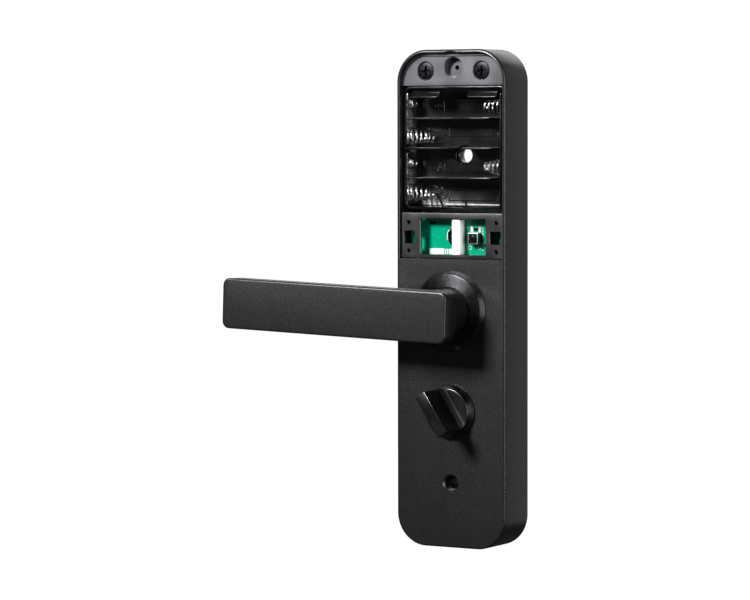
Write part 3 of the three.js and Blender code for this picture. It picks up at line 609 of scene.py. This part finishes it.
def makeHousing():
    h = housing
    front, back, shelfFront, shelfBottom = h["front"], h["back"], h["shelfFront"], h["shelfBottom"]
    faceBack = front + h["face"]
    inner = insetPlan(h["plan"], h["wall"])
    bottom, top = inner[2] - 1, inner[3] + 1

    def hollow(low, high, near, far):
        # part of the inside between two heights, round only where it meets the housing's own corners
        tool = slab(inner, near, far, segments=24)
        for height, outward in ((low, (0, 0, -1)), (high, (0, 0, 1))):
            cut = bmesh.ops.bisect_plane(tool, geom=tool.verts[:] + tool.edges[:] + tool.faces[:],
                                         plane_co=(0, 0, height), plane_no=outward, clear_outer=True)
            rim = [item for item in cut["geom_cut"] if isinstance(item, bmesh.types.BMEdge)]
            if rim:
                bmesh.ops.holes_fill(tool, edges=rim, sides=0)
        faceOutward(tool)
        return tool

    shell = slab(h["plan"], front, back, h["edge"], h["backEdge"], steps=6, segments=24)
    shell = oneByOne(shell, [
        hollow(bottom, top, h["shelfBack"], back + 2),
        hollow(bottom, shelfBottom, faceBack, h["shelfBack"] + 0.4),
        hollow(h["recessBottom"], shelfBottom, front - 2, faceBack + 0.4),
        hollow(shelfBottom - 0.4, top, front - 2, shelfFront)])
    flatten(shell)

    def onRecess(edge):
        # the recess's upper and lower edges catch a thin line of light
        ends, tiny = [vert.co for vert in edge.verts], 0.01
        if all(abs(end.y - shelfFront) < tiny and abs(end.z - shelfBottom) < tiny for end in ends):
            return True
        return all(abs(end.y - front) < tiny and abs(end.x) < h["rimHalf"]
                   and h["recessBottom"] - 0.1 < end.z < h["rimTop"] for end in ends)

    roundEdges(shell, h["rim"], onRecess)

    bosses = [drum(h["screwBoss"], -20, -14.6, side * h["screwX"], h["screwZ"]) for side in (-1, 1)]
    bosses.append(drum(h["coverBoss"], -20, -10.4, 0, h["coverZ"]))
    bosses.append(drum(h["boltBoss"], faceBack - 0.2, doorFace - 3.3, 0, h["boltZ"]))
    pilots = []
    for start, radius, end, hole, holeFront, holeBack in innerScrews:
        for x, _, z in map(middle, nodesNamed(start)):
            bosses.append(drum(radius, faceBack - 0.2, end, x, z, 24))
            pilots.append(drum(hole, holeFront, holeBack, x, z, 20))
    shell = combine(shell, bosses, "UNION")

    tools = []
    for x in (-h["screwX"], h["screwX"]):
        tools.append(drum(h["screwSeat"], shelfFront, shelfFront + h["screwDepth"], x, h["screwZ"], 64, 0.3))
        tools.append(drum(h["screwHole"], shelfFront, -13.6, x, h["screwZ"], 32))
    coverFloor = shelfFront + h["coverDepth"]
    tools += [
        drum(h["coverSeat"], shelfFront, coverFloor, 0, h["coverZ"], 64, 0.35),
        drum(h["coverHole"], coverFloor, -15, 0, h["coverZ"], 32, 0.2),
        drum(h["insertHole"], coverFloor + 1.1, -9, 0, h["coverZ"], 32),
        drum(h["leverHole"], front - 1, faceBack + 0.5, 0, 0, 64),
        drum(h["knobHole"], front - 1, faceBack + 0.5, 0, h["knobZ"], 64),
        drum(h["boltSeat"], front, front + h["boltDepth"], 0, h["boltZ"], 64, 0.9),
        drum(h["boltHole"], front + 1, 3, 0, h["boltZ"], 48)]
    shell = oneByOne(shell, tools + pilots)
    # a narrow ledge runs along the top of the shelf
    ledge = slab(h["ledge"], shelfFront - 0.7, shelfFront + 0.5, 0.15, 0, 2, 4)
    shell = combine(shell, [ledge], "UNION")
    flatten(shell)

    # the shelf is a smoother moulding set into the coated body; its lighter grey is painted reflection,
    # standing in for the lamps mirrored in its dark satin
    for face in shell.faces:
        centre = face.calc_center_median()
        inside = centre.z > shelfBottom - 0.05 and abs(centre.x) < h["shelfHalf"] and centre.z < h["shelfTop"]
        face.material_index = 1 if inside and shelfFront - 1.0 < centre.y < -16 else 0
    finishPiece("housing_shell", shell, "root", housingCoat, ["housing"], 28, [shelfPaintedReflectionPlastic])


makeHousing()
print("housing made")

# Board bezel.

bezel = {"front": -22.4, "thickness": 1.5, "bottom": 27.3, "top": 51, "half": 30.3, "foot": -15.9,
         "footSize": 3, "window": (-18.9, 19.8, 29.1, 47.8), "lip": 1.1, "slotInner": 22.5, "slotOuter": 28.8,
         "slotBottom": 34.9, "slotTop": 41.4, "pilotX": 26.1, "pilots": (30.9, 45.9), "pilotHole": 1.1}


def makeBezel():
    b = bezel
    front, foot, size, lip = b["front"], b["foot"], b["footSize"], b["lip"]
    left, right, bottom, top = b["window"]
    plan = boxPlan(-b["half"], b["half"], b["bottom"], b["top"], 0.8)
    plate = slab(plan, front, front + b["thickness"], 0.3, 0, 3, 5)
    wellPlan = boxPlan(left - lip, right + lip, bottom - lip, top + lip, 1.4)
    added = [slab(wellPlan, front + 0.5, foot, segments=6)]
    for side in (-1, 1):
        near, far = sorted((side * b["half"], side * (b["half"] - size)))
        for low, high in ((b["bottom"], b["bottom"] + size), (b["top"] - size, b["top"])):
            added.append(slab(boxPlan(near, far, low, high, 0.5), front + 0.8, foot, segments=3))
    body = oneByOne(plate, added, "UNION")
    mouth = [(-0.5, front - 1), (-0.35, front), (0, front + 0.35), (0, foot + 1)]
    tools = [stack(boxPlan(left, right, bottom, top, 0.7), mouth, 5)]
    # the well has no wall on its left, where only the plate's own edge frames the board
    tools.append(slab(boxPlan(left - lip - 0.5, left + 1, bottom, top), front + b["thickness"], foot + 1))
    slotMouth = [(-0.4, front - 1), (-0.25, front), (0, front + 0.25), (0, front + 4)]
    for side in (-1, 1):
        near, far = sorted((side * b["slotInner"], side * b["slotOuter"]))
        tools.append(stack(boxPlan(near, far, b["slotBottom"], b["slotTop"], 0.5), slotMouth, 4))
        for z in b["pilots"]:
            tools.append(drum(b["pilotHole"], front, front + 3, side * b["pilotX"], z, 28, 0.2))
    body = oneByOne(body, tools)
    finishPiece("bezel_frame", body, "root", bezelPlastic, ["board_bezel"])


makeBezel()
print("bezel made")

# Battery tray.

tray = {"half": 30.3, "bottom": 52.8, "top": 117.0, "front": -20.3, "floor": -8.5, "back": -7.3, "wall": 1.35,
        "corner": 4, "rows": (107.9, 92.3, 76.7, 61.1), "cellAxis": -15.9,
        "rightRim": (28.5, 29.8, 54.0, 113.0, 0.6), "rightRimFront": -23.2,
        "dividerFront": -19.1, "dividerStep": 0.8, "stepEnd": -15.2, "dividerEnd": 20.3,
        "boltZ": 80.9, "boltRadius": 3.8, "seatRadius": 5.15, "seat": -7.4, "boss": 6.4, "bossEnd": -4.0,
        "lips": ((-25.6, -8.6), (8.2, 25.6)), "lipRoot": (-16.65, 116.6), "lipTip": (-21.45, 111.0),
        "lipThick": 0.9, "notchHalf": 7, "notchSpread": 1.25}


def makeLip(left, right):
    # a tab with a rounded tip that leans out from the bay's top wall
    t = tray
    (rootY, rootZ), (tipY, tipZ) = t["lipRoot"], t["lipTip"]
    length = math.hypot(rootY - tipY, rootZ - tipZ)
    half = t["lipThick"] / 2
    tab = slab(boxPlan(left, right, 0, length, 1.0), -half, half, 0.3, 0.3, 3, 5)
    lean = math.atan2(rootY - tipY, rootZ - tipZ)
    return move(tab, Matrix.Translation((0, tipY, tipZ)) @ Matrix.Rotation(-lean, 4, "X"))


def makeTray():
    t = tray
    half, wall, front, floor, bottom = t["half"], t["wall"], t["front"], t["floor"], t["bottom"]
    inner = half - wall
    shell = slab(boxPlan(-half, half, bottom, t["top"], t["corner"]), front, t["back"], 0.45, 0, 4, 10)
    bay = stack(boxPlan(-inner, inner, bottom + wall, t["top"] - wall, t["corner"] - wall),
                [(-0.8, front - 1), (-0.35, front), (-0.1, front + 0.2), (0, front + 0.5),
                 (0, floor - 1.2), (0.3, floor - 0.4), (1.1, floor)], 8)
    shell = combine(shell, [bay])
    parts = []
    for upper, lower in zip(t["rows"], t["rows"][1:]):
        z = (upper + lower) / 2
        for end, halfThick, step in ((t["dividerEnd"], 0.5, 0), (t["stepEnd"], 0.55, t["dividerStep"])):
            plan = boxPlan(-inner - 0.3, end, z - halfThick, z + halfThick, 0.2)
            parts.append(slab(plan, t["dividerFront"] - step, floor + 0.4, 0.25, 0, 3, 3))
    parts.append(slab(t["rightRim"], t["rightRimFront"], front + 2, 0.4, 0, 4, 4))
    parts += [makeLip(*ends) for ends in t["lips"]]
    parts.append(drum(t["boss"], floor + 0.3, t["bossEnd"], 0, t["boltZ"], 64))
    shell = oneByOne(shell, parts, "UNION")
    notchPlan = boxPlan(-t["notchHalf"], t["notchHalf"], bottom - 3, bottom + 4, 1.4)
    notch = slab(notchPlan, front - 2, -12, segments=5)
    for vert in notch.verts:
        if vert.co.z < bottom:
            vert.co.x *= t["notchSpread"]
    radius, seat = t["seatRadius"], t["seat"]
    bowl = turned([(0, front), (radius + 0.7, front), (radius + 0.35, floor), (radius, floor + 0.3),
                   (radius, seat), (0, seat)], 0, t["boltZ"], 64)
    shell = oneByOne(shell, [notch, bowl, drum(t["boltRadius"], seat, 0, 0, t["boltZ"], 64, 0.25)])
    finishPiece("tray_moulding", shell, "root", trayPlastic, ["battery_tray"])


def bar(left, right, bottom, top, front, back):
    return slab(boxPlan(left, right, bottom, top, 0.12), front, back, 0.08, 0, 1, 2)


# each row's outline in x and, from the row's axis, in z
cellMarks = (
    (-12.5, 14.5, -4.1, 1.9), (-9.5, 17.5, -1.5, 3.6), (-12.5, 14.5, -4.6, 0.2), (-9.5, 17.5, -4.1, 1.9))
notchRib = [(-10.6, 61.2), (-6.7, 53.9), (7.1, 53.3), (6.8, 57.2)]


def makeTrayMarks():
    # raised outlines on the floor that show how each cell lies, with its plus and minus ends
    t = tray
    parts = []
    near, far = t["floor"] - 0.4, t["floor"] + 0.1
    line = 0.5
    for index, (z, (left, right, below, above)) in enumerate(zip(t["rows"], cellMarks)):
        low, high = z + below, z + above
        for edges in ((left, right, low, low + line), (left, right, high - line, high),
                      (left, left + line, low, high), (right - line, right, low, high)):
            parts.append(bar(*edges, near, far))
        middleZ = (low + high) / 2
        # the minus end lies at the spring
        minusX, plusX = (right + 4.2, left - 3.2) if index % 2 == 0 else (left - 3.4, right + 3.2)
        for centre in (minusX, plusX):
            parts.append(washer(1.6, 1.6 + line, near, far, centre, middleZ, 28, 0.06))
            parts.append(bar(centre - 1, centre + 1, middleZ - 0.2, middleZ + 0.2, near, far))
        parts.append(bar(plusX - 0.2, plusX + 0.2, middleZ - 1, middleZ + 1, near, far))
    # the finger notch in the bay's bottom edge is framed by a thin rib
    for start, end in zip(notchRib, notchRib[1:]):
        parts.append(strip(start, end, 0.6, t["front"] + 0.4, t["front"] + 1.2))
    finishPiece("tray_polarity_marks", merged(parts), "root", trayPlastic)


makeTray()
makeTrayMarks()
print("tray made")

# Battery contacts.

contacts = {"face": 28.25, "thickness": 0.4, "nub": 2.75, "nubHeight": 2.6, "front": -19.8, "back": -11.2,
            "wire": 0.4, "baseRadius": 4.5, "tipRadius": 2.6, "length": 12.4, "turns": 5, "flatTurns": 0.8,
            "drop": (1.5, 1.5, 2.0, 0.0), "pointsPerTurn": 36}


def makeContactPlate(node, nubs):
    c = contacts
    low, high = nodeBox(node)
    side = 1 if low[0] > 0 else -1
    plate = slab((c["front"], c["back"], low[2], high[2], 1.0), 0, c["thickness"], 0.1, 0.1, 2, 6)
    # the slab lies in x and z, so a quarter turn about z stands it against the side wall
    move(plate, turnBy(90, "Z"))
    target = c["face"] if side > 0 else -c["face"] - c["thickness"]
    move(plate, Matrix.Translation((target - min(vert.co.x for vert in plate.verts), 0, 0)))
    parts = [plate]
    for z in nubs:
        # a pressed cup with a raised ring at its tip
        radius, height = c["nub"], c["nubHeight"]
        profile = [(0, 0.1), (radius + 0.6, 0.1), (radius + 0.15, -0.15), (radius, -0.5)]
        profile += [(radius - 0.2, -height + 0.6)] + arc(radius - 0.75, -height + 0.5, 0.5, 0, -110, 6)
        profile += [(radius - 1.2, -height + 0.35), (0, -height + 0.45)]
        nub = move(turned(profile, steps=48), turnBy(-90 * side, "Z"))
        parts.append(move(nub, Matrix.Translation((side * c["face"], tray["cellAxis"], z))))
    finishPiece(node + "_strip", merged(parts), "root", nickel, [node])


def makeBatterySpring(index, z):
    c = contacts
    side = 1 if index % 2 == 0 else -1
    base = c["face"] - 0.3 - c["wire"]
    points = []
    for step in range(c["turns"] * c["pointsPerTurn"] + 1):
        turn = step / c["pointsPerTurn"]
        climb = max(0.0, (turn - c["flatTurns"]) / (c["turns"] - c["flatTurns"]))
        radius = c["baseRadius"] + (c["tipRadius"] - c["baseRadius"]) * climb
        angle = math.tau * turn
        x = side * (base - climb * (c["length"] - 2 * c["wire"]))
        points.append((x, tray["cellAxis"] + radius * math.cos(angle), z + radius * math.sin(angle)))
    node = f"battery_spring_{index + 1}"
    finishPiece(node + "_coil", wireAlong(points, c["wire"]), "root", nickel, [node], 60)


plates = ("bridge_rows_1_2", "bridge_rows_2_3", "bridge_rows_3_4", "terminal_positive")
makeContactPlate("terminal_negative", [])
for plateNode, rowHeight in zip(plates, tray["rows"]):
    makeContactPlate(plateNode, [rowHeight])
for rowIndex, rowHeight in enumerate(tray["rows"]):
    makeBatterySpring(rowIndex, rowHeight - contacts["drop"][rowIndex])
print("contacts made")

# Lever, rosette and thumbturn.

lever = {"length": 136.6, "height": 26.9, "corner": 5, "centreX": -55.65, "centreZ": 0.1, "rise": 1.96,
         "front": -52, "back": -41, "edge": 1.1, "backEdge": 1.6, "neck": 11.8, "journal": 9.5, "hub": 8.5,
         "shoulder": -26.3, "step": -15.5, "end": -4.4, "socket": 8.6, "socketEnd": -40.3, "fillet": 6.5,
         "groove": (7.4, -6.4, -5), "camSlotX": 12.3, "camSlotHalf": 5, "camSlotEnd": -9.6}


def makeLever():
    v = lever
    front, back, edge, neck, hub = v["front"], v["back"], v["edge"], v["neck"], v["hub"]
    fillet, shoulder, journal, step, end = v["fillet"], v["shoulder"], v["journal"], v["step"], v["end"]
    plan = (-v["length"] / 2, v["length"] / 2, -v["height"] / 2, v["height"] / 2, v["corner"])
    place = Matrix.Translation((v["centreX"], 0, v["centreZ"])) @ turnBy(v["rise"], "Y")
    # the corners are tighter at the front than at the back
    levels = [(edge * left, front + edge * gone, 3.4 + 0.6 * index / 5)
              for index, (left, gone) in enumerate(quarter(5))]
    for inset, depth in roundedSteps(front, back, 0, v["backEdge"], 5)[1:]:
        levels.append((inset, depth, 6.4 - inset * 0.6))
    handle = move(stack(plan, levels, 12), place)
    flare = turned([(0, back - 1), (neck + fillet, back - 1), (neck + fillet, back)]
                   + arc(neck + fillet, back + fillet, fillet, 270, 180, 14)
                   + [(neck, shoulder), (0, shoulder)], 0, 0, 128)
    trim = move(slab(insetPlan(plan, 0.5), front, step, 0, 0, segments=12), place)
    flare = combine(flare, [trim], "INTERSECT")
    groove, grooveFront, grooveBack = v["groove"]
    stem = turned([(0, back - 0.8), (neck - 0.05, back - 0.8), (neck - 0.05, shoulder - 0.3),
                   (neck - 0.35, shoulder), (journal, shoulder), (journal, step), (hub, step),
                   (hub, grooveFront), (groove, grooveFront), (groove, grooveBack), (hub, grooveBack),
                   (hub, end), (0, end)], 0, 0, 128)
    body = oneByOne(handle, [stem, flare], "UNION")
    half, reach = v["socket"] / 2, v["camSlotHalf"]
    tools = [slab(boxPlan(-half, half, -half, half, 0.2), v["socketEnd"], 0, segments=3)]
    for x in (-v["camSlotX"], v["camSlotX"]):
        tools.append(slab(boxPlan(x - reach, x + reach, -12, 12, 0.2), v["camSlotEnd"], 0, segments=3))
    grub = drum(2.6, -4, 11, steps=32)
    tools.append(move(grub, Matrix.Translation((0, -32, -8)) @ turnBy(90, "X")))
    body = oneByOne(body, tools)
    finishPiece("lever_casting", body, "lever", leverCoat, ["lever_handle"], 30)


rosette = {"bore": 12.3, "stem": 15.7, "rim": 21.0, "end": -20.2, "seat": -24.3}


def makeRosette():
    r = rosette
    profile = [(r["bore"], r["end"]), (r["bore"], -26.1), (12.7, -26.45), (15.5, -26.62), (18.4, -26.85)]
    profile += arc(18.75, -26.2, 0.65, -100, -15, 5) + [(20.9, -24.75), (r["rim"], -24.6)]
    profile += [(r["rim"], r["seat"]), (r["stem"], r["seat"]), (r["stem"], r["end"]), (r["bore"], r["end"])]
    ring = turned(profile, steps=160)
    finishPiece("rosette_ring", ring, "root", turnedMetal, ["lever_rosette"], 30)


knob = {"z": -52.7, "base": 14.4, "rim": 12.5, "discFront": -28.4, "front": -44.8, "thick": 6.4, "tilt": 33,
        "shaft": 5.5, "end": -9, "edge": 0.45, "fillet": 3.6, "bore": 5.1, "seat": -24.3, "boreEnd": -20.9,
        "groove": (4.6, -18.6, -17.2)}


def makeKnob():
    k = knob
    seat, base, rim, disc, front = k["seat"], k["base"], k["rim"], k["discFront"], k["front"]
    edge, fillet, shaft, end = k["edge"], k["fillet"], k["shaft"], k["end"]
    foot = [(0, seat), (base - 0.2, seat), (base, seat - 0.2), (base, seat - 0.6), (rim + 0.1, disc + 0.5)]
    plate = turned(foot + arc(rim - 0.35, disc + 0.45, 0.45, -10, -90, 4) + [(0, disc)], 0, 0, 128)
    # the paddle's outline widens in a quarter circle where it meets the disc
    levels = [(edge * left, front + edge * gone) for left, gone in quarter(4)]
    levels += [(-fillet * gone, disc - fillet + fillet * (1 - left)) for left, gone in quarter(8)]
    levels.append((-fillet, disc + 0.3))
    half = k["thick"] / 2
    paddle = stack((-half, half, -rim - 2, rim + 2, 0.6), levels, 6)
    outline = turned([(0, front - 0.01), (rim - edge, front - 0.01)]
                     + arc(rim - edge, front + edge, edge, -90, 0, 4)
                     + [(rim, disc + 0.35), (0, disc + 0.35)], 0, 0, 160)
    paddle = move(combine(paddle, [outline], "INTERSECT"), turnBy(-k["tilt"], "Y"))
    groove, grooveFront, grooveBack = k["groove"]
    barrel = turned([(0, seat - 0.5), (shaft, seat - 0.5), (shaft, grooveFront), (groove, grooveFront),
                     (groove, grooveBack), (shaft, grooveBack), (shaft, end - 0.4), (shaft - 0.4, end),
                     (0, end)], 0, 0, 64)
    body = oneByOne(plate, [paddle, barrel], "UNION")
    side = k["bore"] / 2
    body = combine(body, [slab(boxPlan(-side, side, -side, side, 0.2), k["boreEnd"], end + 1, segments=3)])
    move(body, Matrix.Translation((0, 0, k["z"])))
    finishPiece("thumbturn_casting", body, "thumbturn", knobCoat, ["thumbturn_knob"], 30)


makeLever()
makeRosette()
makeKnob()
print("lever, rosette and thumbturn made")

# Control board and what stands on it.

board = {"plan": (-28.6, 28.6, 20, 50.2, 1), "front": -15.5, "back": -13.9, "screwX": 24.5, "screwZ": 23.5,
         "screwHole": 1.5, "printDepth": 0.06, "sunk": 0.05, "viaRadius": 0.35,
         "vias": ((7, 32.8), (12.8, 32.8), (16.4, 45.6), (-14.6, 45.3), (-10.2, 45.3))}
labelBars = (
    (-17.6, -8.5, 29.3, 32.2), (-7.9, -7.3, 29.3, 32.0), (-6.7, -6.0, 29.3, 32.0), (-5.4, -3.7, 29.3, 32.0))
jumperPrint = [(-3.2, 43.9), (-6.4, 40.8), (-6.7, 37.3), (-3.7, 34.4), (-3.4, 29.8)]
jumper = {"outline": [(-0.9, 34.2), (-3.6, 34.2), (-5.2, 36.6), (-5.2, 40.6), (-3.6, 43), (-0.9, 43)],
          "front": -17.4, "back": -15.8, "edge": 0.25,
          "pocket": (-4.2, -1.6, 36.2, 41, 0.4), "pocketFloor": -16.9}
chipPlaces = ((9.5, 11.7, 42.0, 43.5), (-16.2, -13.2, 44.9, 46.4), (15.6, 17.2, 33.4, 35.0))
resetSwitch = {"x": 11, "z": 37.8, "size": 6, "front": -19.1, "cover": -19.7, "plunger": 1.7, "tip": -20.4,
               "foot": -16.8, "pin": 0.42, "pinOffset": 2.2}


def printed(left, right, bottom, top, depth=board["printDepth"]):
    front = board["front"]
    return slab(boxPlan(left, right, bottom, top, 0.1), front - depth, front + board["sunk"], 0.02, 0, 1, 2)


def makeBoard():
    b = board
    front, through = b["front"], (b["front"] - 1, b["back"] + 1)
    plate = slab(b["plan"], front, b["back"], 0.08, 0.08, 2, 6)
    holes = [drum(b["screwHole"], *through, side * b["screwX"], b["screwZ"], 32) for side in (-1, 1)]
    holes += [drum(b["viaRadius"], *through, x, z, 12) for x, z in b["vias"]]
    finishPiece("board_panel", combine(plate, holes), "root", greenBoard, ["control_board"])

    near, far = front - b["printDepth"], front + b["sunk"]
    legends = [printed(*place) for place in labelBars]
    legends += [strip(start, end, 0.32, near, far) for start, end in zip(jumperPrint, jumperPrint[1:])]
    legends += [printed(14.4, 14.95, z, z + 0.55) for z in (31.4 + 1.42 * step for step in range(9))]
    legends += [washer(0.75, 1.0, near, far, x, z, 24, 0.03) for x, z in b["vias"][:2]]
    legends.append(printed(5.2, 5.8, 43.0, 43.6))
    finishPiece("board_legends", merged(legends), "root", whiteInk)

    pads = [printed(left, left + 1.5, 41.2, 43.9, 0.12) for left in (7.4, 12.1)]
    pads += [printed(left, left + 1.0, z, z + 0.8, 0.1) for left in (6.6, 14.0) for z in (35.2, 39.6)]
    finishPiece("board_pads", merged(pads), "root", tinPads)

    chips = [slab((*place, 0.15), front - 0.7, far, 0.1, 0, 2, 3) for place in chipPlaces]
    finishPiece("board_chip_parts", merged(chips), "root", plungerPlastic)


def makeConnector():
    (left, front, bottom), (right, back, top) = nodeBox("cable_connector")
    body = slab(boxPlan(left, right, bottom, top, 0.6), front, back, 0.25, 0, 4, 6)
    # its keyway runs along the side that faces the short parts
    keyway = slab(boxPlan(left - 1, left + 0.5, bottom + 3, top - 3, 0.3), front + 2.2, back - 1.2)
    body = combine(body, [keyway])
    finishPiece("connector_housing", body, "root", whiteNylon, ["cable_connector"], 40)
    feet = [slab(boxPlan(left - 0.8, left + 0.2, z, z + 0.5, 0.1), back - 0.25, back, 0.08, 0, 1, 2)
            for z in (bottom + 1 + 1.25 * step for step in range(13))]
    finishPiece("connector_feet", merged(feet), "root", tinPads)


def makeJumper():
    j = jumper
    block = prism(j["outline"], j["front"], j["back"], j["edge"])
    block = combine(block, [slab(j["pocket"], -18, j["pocketFloor"])])
    finishPiece("jumper_moulding", block, "root", trayPlastic, ["jumper_block"])


def makeResetSwitch():
    r = resetSwitch
    x, z, half, front, cover = r["x"], r["z"], r["size"] / 2, r["front"], r["cover"]
    tip, radius, foot, offsets = r["tip"], r["plunger"], r["foot"], (-r["pinOffset"], r["pinOffset"])
    plan = boxPlan(x - half, x + half, z - half, z + half, 0.4)
    body = slab(plan, front, board["front"] - 0.3, 0.1, 0.1, 2, 5)
    body = combine(body, [drum(radius + 0.3, front - 1, foot + 0.6, x, z)])
    finishPiece("switch_body", body, "root", trayPlastic, ["reset_switch_body"])
    lid = slab(insetPlan(plan, 0.1), cover, front - 0.3, 0.12, 0, 3, 5)
    lid = combine(lid, [drum(radius + 0.3, cover - 1, front, x, z, 48, 0.1)])
    pins = [drum(r["pin"], cover - 0.12, cover + 0.1, x + a, z + b, 16) for a in offsets for b in offsets]
    lid = merged([lid] + pins)
    finishPiece("switch_cover", lid, "root", switchSteel, ["reset_switch_cover"])
    rim = combine(slab(insetPlan(plan, 0.1), cover - 0.08, cover + 0.06, 0.05, 0, 2, 5),
                  [slab(insetPlan(plan, 0.42), cover - 1, cover + 1, segments=5)])
    finishPiece("switch_cover_rim", rim, "root", zinc)
    stem = turned([(0, tip), (radius - 0.5, tip)] + arc(radius - 0.4, tip + 0.4, 0.4, -90, 0, 5)
                  + [(radius, foot), (0, foot)], x, z, 48)
    finishPiece("plunger_moulding", stem, "reset_button", plungerPlastic, ["reset_plunger"])


makeBoard()
makeConnector()
makeJumper()
makeResetSwitch()
print("board made")

# Screws.


def makeScrew(node, look):
    # a pan head with a cross recess on a threaded shank
    low, high = nodeBox(node)
    x, _, z = middle(node)
    length, head, shank, height = high[1] - low[1], (high[0] - low[0]) / 2, look["shank"], look["height"]
    crown, pitch = look["crown"], look["pitch"]
    profile = [(0, 0), (head * 0.45, 0), (head * 0.75, crown * 0.3), (head - crown * 0.4, crown)]
    profile += [(head, crown * 1.8), (head, height), (shank, height), (shank, height + 0.5)]
    root = shank * 0.78
    for step in range(int((length - height - 1.6) / pitch)):
        start = height + 0.5 + pitch * step
        profile += [(root, start + pitch * 0.3), (root, start + pitch * 0.5), (shank, start + pitch)]
    profile += [(shank * 0.5, length), (0, length)]
    reach, width, depth = head * 0.6, head * 0.13, height * 0.62
    tools = [stack(plan, [(-0.05, -1), (0, 0.05), (width * 0.5, depth)], 3)
             for plan in ((-reach, reach, -width, width, 0.1), (-width, width, -reach, reach, 0.1))]
    tools.append(turned([(0, -1), (width * 2.4, -1), (width * 2.1, 0), (width * 1.2, depth),
                         (0, depth + width)], steps=24))
    body = oneByOne(turned(profile, steps=48), tools)
    turn, start = turnBy(look["angle"], "Y"), low[1]
    if look["facing"] == "door":
        turn, start = Matrix.Rotation(math.pi, 4, "Z") @ turn, high[1]
    move(body, Matrix.Translation((x, start, z)) @ turn)
    finishPiece(node + "_thread", body, "root", look["material"], [node], 40)


zincScrew = {"facing": "door", "material": zinc, "slot": "zinc_plated_steel"}
screwLooks = {
    "shelf_screw": {"facing": "room", "height": 2.6, "shank": 1.6, "crown": 0.3, "pitch": 0.9, "angle": 0,
                    "material": blackOxide, "slot": "black_steel"},
    "back_plate_screw": {**zincScrew, "height": 1.0, "shank": 1.3, "crown": 0.2, "pitch": 0.7, "angle": 20},
    "board_screw": {**zincScrew, "height": 1.3, "shank": 1.0, "crown": 0.25, "pitch": 0.6, "angle": 35},
    "cassette_screw": {**zincScrew, "height": 1.4, "shank": 1.3, "crown": 0.25, "pitch": 0.7, "angle": 10},
}
for start, screwLook in screwLooks.items():
    for screwNode in nodesNamed(start):
        makeScrew(screwNode, screwLook)
print("screws made")

# What faces the door.

# the plate's round holes are x, z and radius: for the bolts, the spindle and the tailpiece
doorSide = {"front": -1.3, "back": 0.3, "postRadius": 3.6, "postEnd": -14.3, "postHole": 1.9,
            "screwHole": 1.6, "holes": ((0, 80.9, 5.2), (0, -90.2, 3.4), (0, 0, 6.6), (0, -52.7, 5)),
            "outlet": (-4.6, 4.6, 37.8, 42.2, 2.2), "gasket": (2.8, 7), "gasketFront": 0.6}


def makeBackPlate():
    d, h = doorSide, housing
    plate = slab(insetPlan(h["plan"], h["wall"] + 0.3), d["front"], d["back"], 0.15, 0.3, 3, 16)
    sides = (-h["screwX"], h["screwX"])
    posts = [drum(d["postRadius"], d["postEnd"], d["front"] + 0.5, x, h["screwZ"]) for x in sides]
    plate = oneByOne(plate, posts, "UNION")
    tools = [drum(d["postHole"], -16, 2, x, h["screwZ"], 32) for x in sides]
    tools += [drum(radius, -3, 2, x, z, 64) for x, z, radius in d["holes"]]
    tools.append(slab(insetPlan(d["outlet"], -2.4), -3, 2, segments=12))
    screws = map(middle, nodesNamed("back_plate_screw"))
    tools += [drum(d["screwHole"], -3, 2, x, z, 24) for x, _, z in screws]
    plate = oneByOne(plate, tools)
    finishPiece("back_plate_pressing", plate, "root", zinc, ["back_plate"])


def makeGasket():
    d, plan = doorSide, housing["plan"]
    outer, inner = d["gasket"]
    ring = slab(insetPlan(plan, outer), d["gasketFront"], doorFace, 0.05, 0.3, 3, 16)
    ring = combine(ring, [slab(insetPlan(plan, inner), d["gasketFront"] - 1, doorFace + 1, segments=16)])
    finishPiece("gasket_foam", ring, "root", foam, ["door_gasket"])


def makeGrommet():
    d = doorSide
    near, far = d["front"] - 0.3, d["back"] + 0.3
    body = slab(insetPlan(d["outlet"], -2.1), near - 0.1, far + 0.1, segments=10)
    for front, back in ((near - 0.8, near), (far, far + 0.8)):
        body = combine(body, [slab(insetPlan(d["outlet"], -3.6), front, back, 0.3, 0.3, 3, 10)], "UNION")
    body = combine(body, [slab(d["outlet"], near - 3, far + 3, segments=10)])
    finishPiece("grommet_rubber", body, "root", foam, ["cable_grommet"])


def makeSquareBar(node, name, body, chamfer):
    low, high = nodeBox(node)
    plan = boxPlan(low[0], high[0], low[2], high[2], 0.35)
    levels = [(chamfer, low[1]), (0, low[1] + chamfer), (0, high[1] - chamfer), (chamfer, high[1])]
    finishPiece(name, stack(plan, levels, 4), body, zinc, [node])


makeBackPlate()
makeGasket()
makeGrommet()
makeSquareBar("spindle", "spindle_bar", "lever", 0.8)
makeSquareBar("tailpiece", "tailpiece_bar", "thumbturn", 0.6)
print("door side made")

# The pieces inside keep their CAD shape, with their real material.

insideFinishes = {
    "cover_thread_insert": brass, "battery_lead_red": redPvc, "battery_lead_black": blackPvc,
    "lever_bushing": acetal, "cassette_plate": zinc, "lever_grub_screw": blackOxide,
    "return_spring": blackOxide, "return_cam": zinc, "lever_circlip": blackOxide,
    "thumbturn_bushing": acetal, "thumbturn_washer": zinc, "thumbturn_circlip": blackOxide,
}
for node, insideFinish in insideFinishes.items():
    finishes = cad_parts[node].data.materials
    finishes.clear()
    finishes.append(insideFinish)
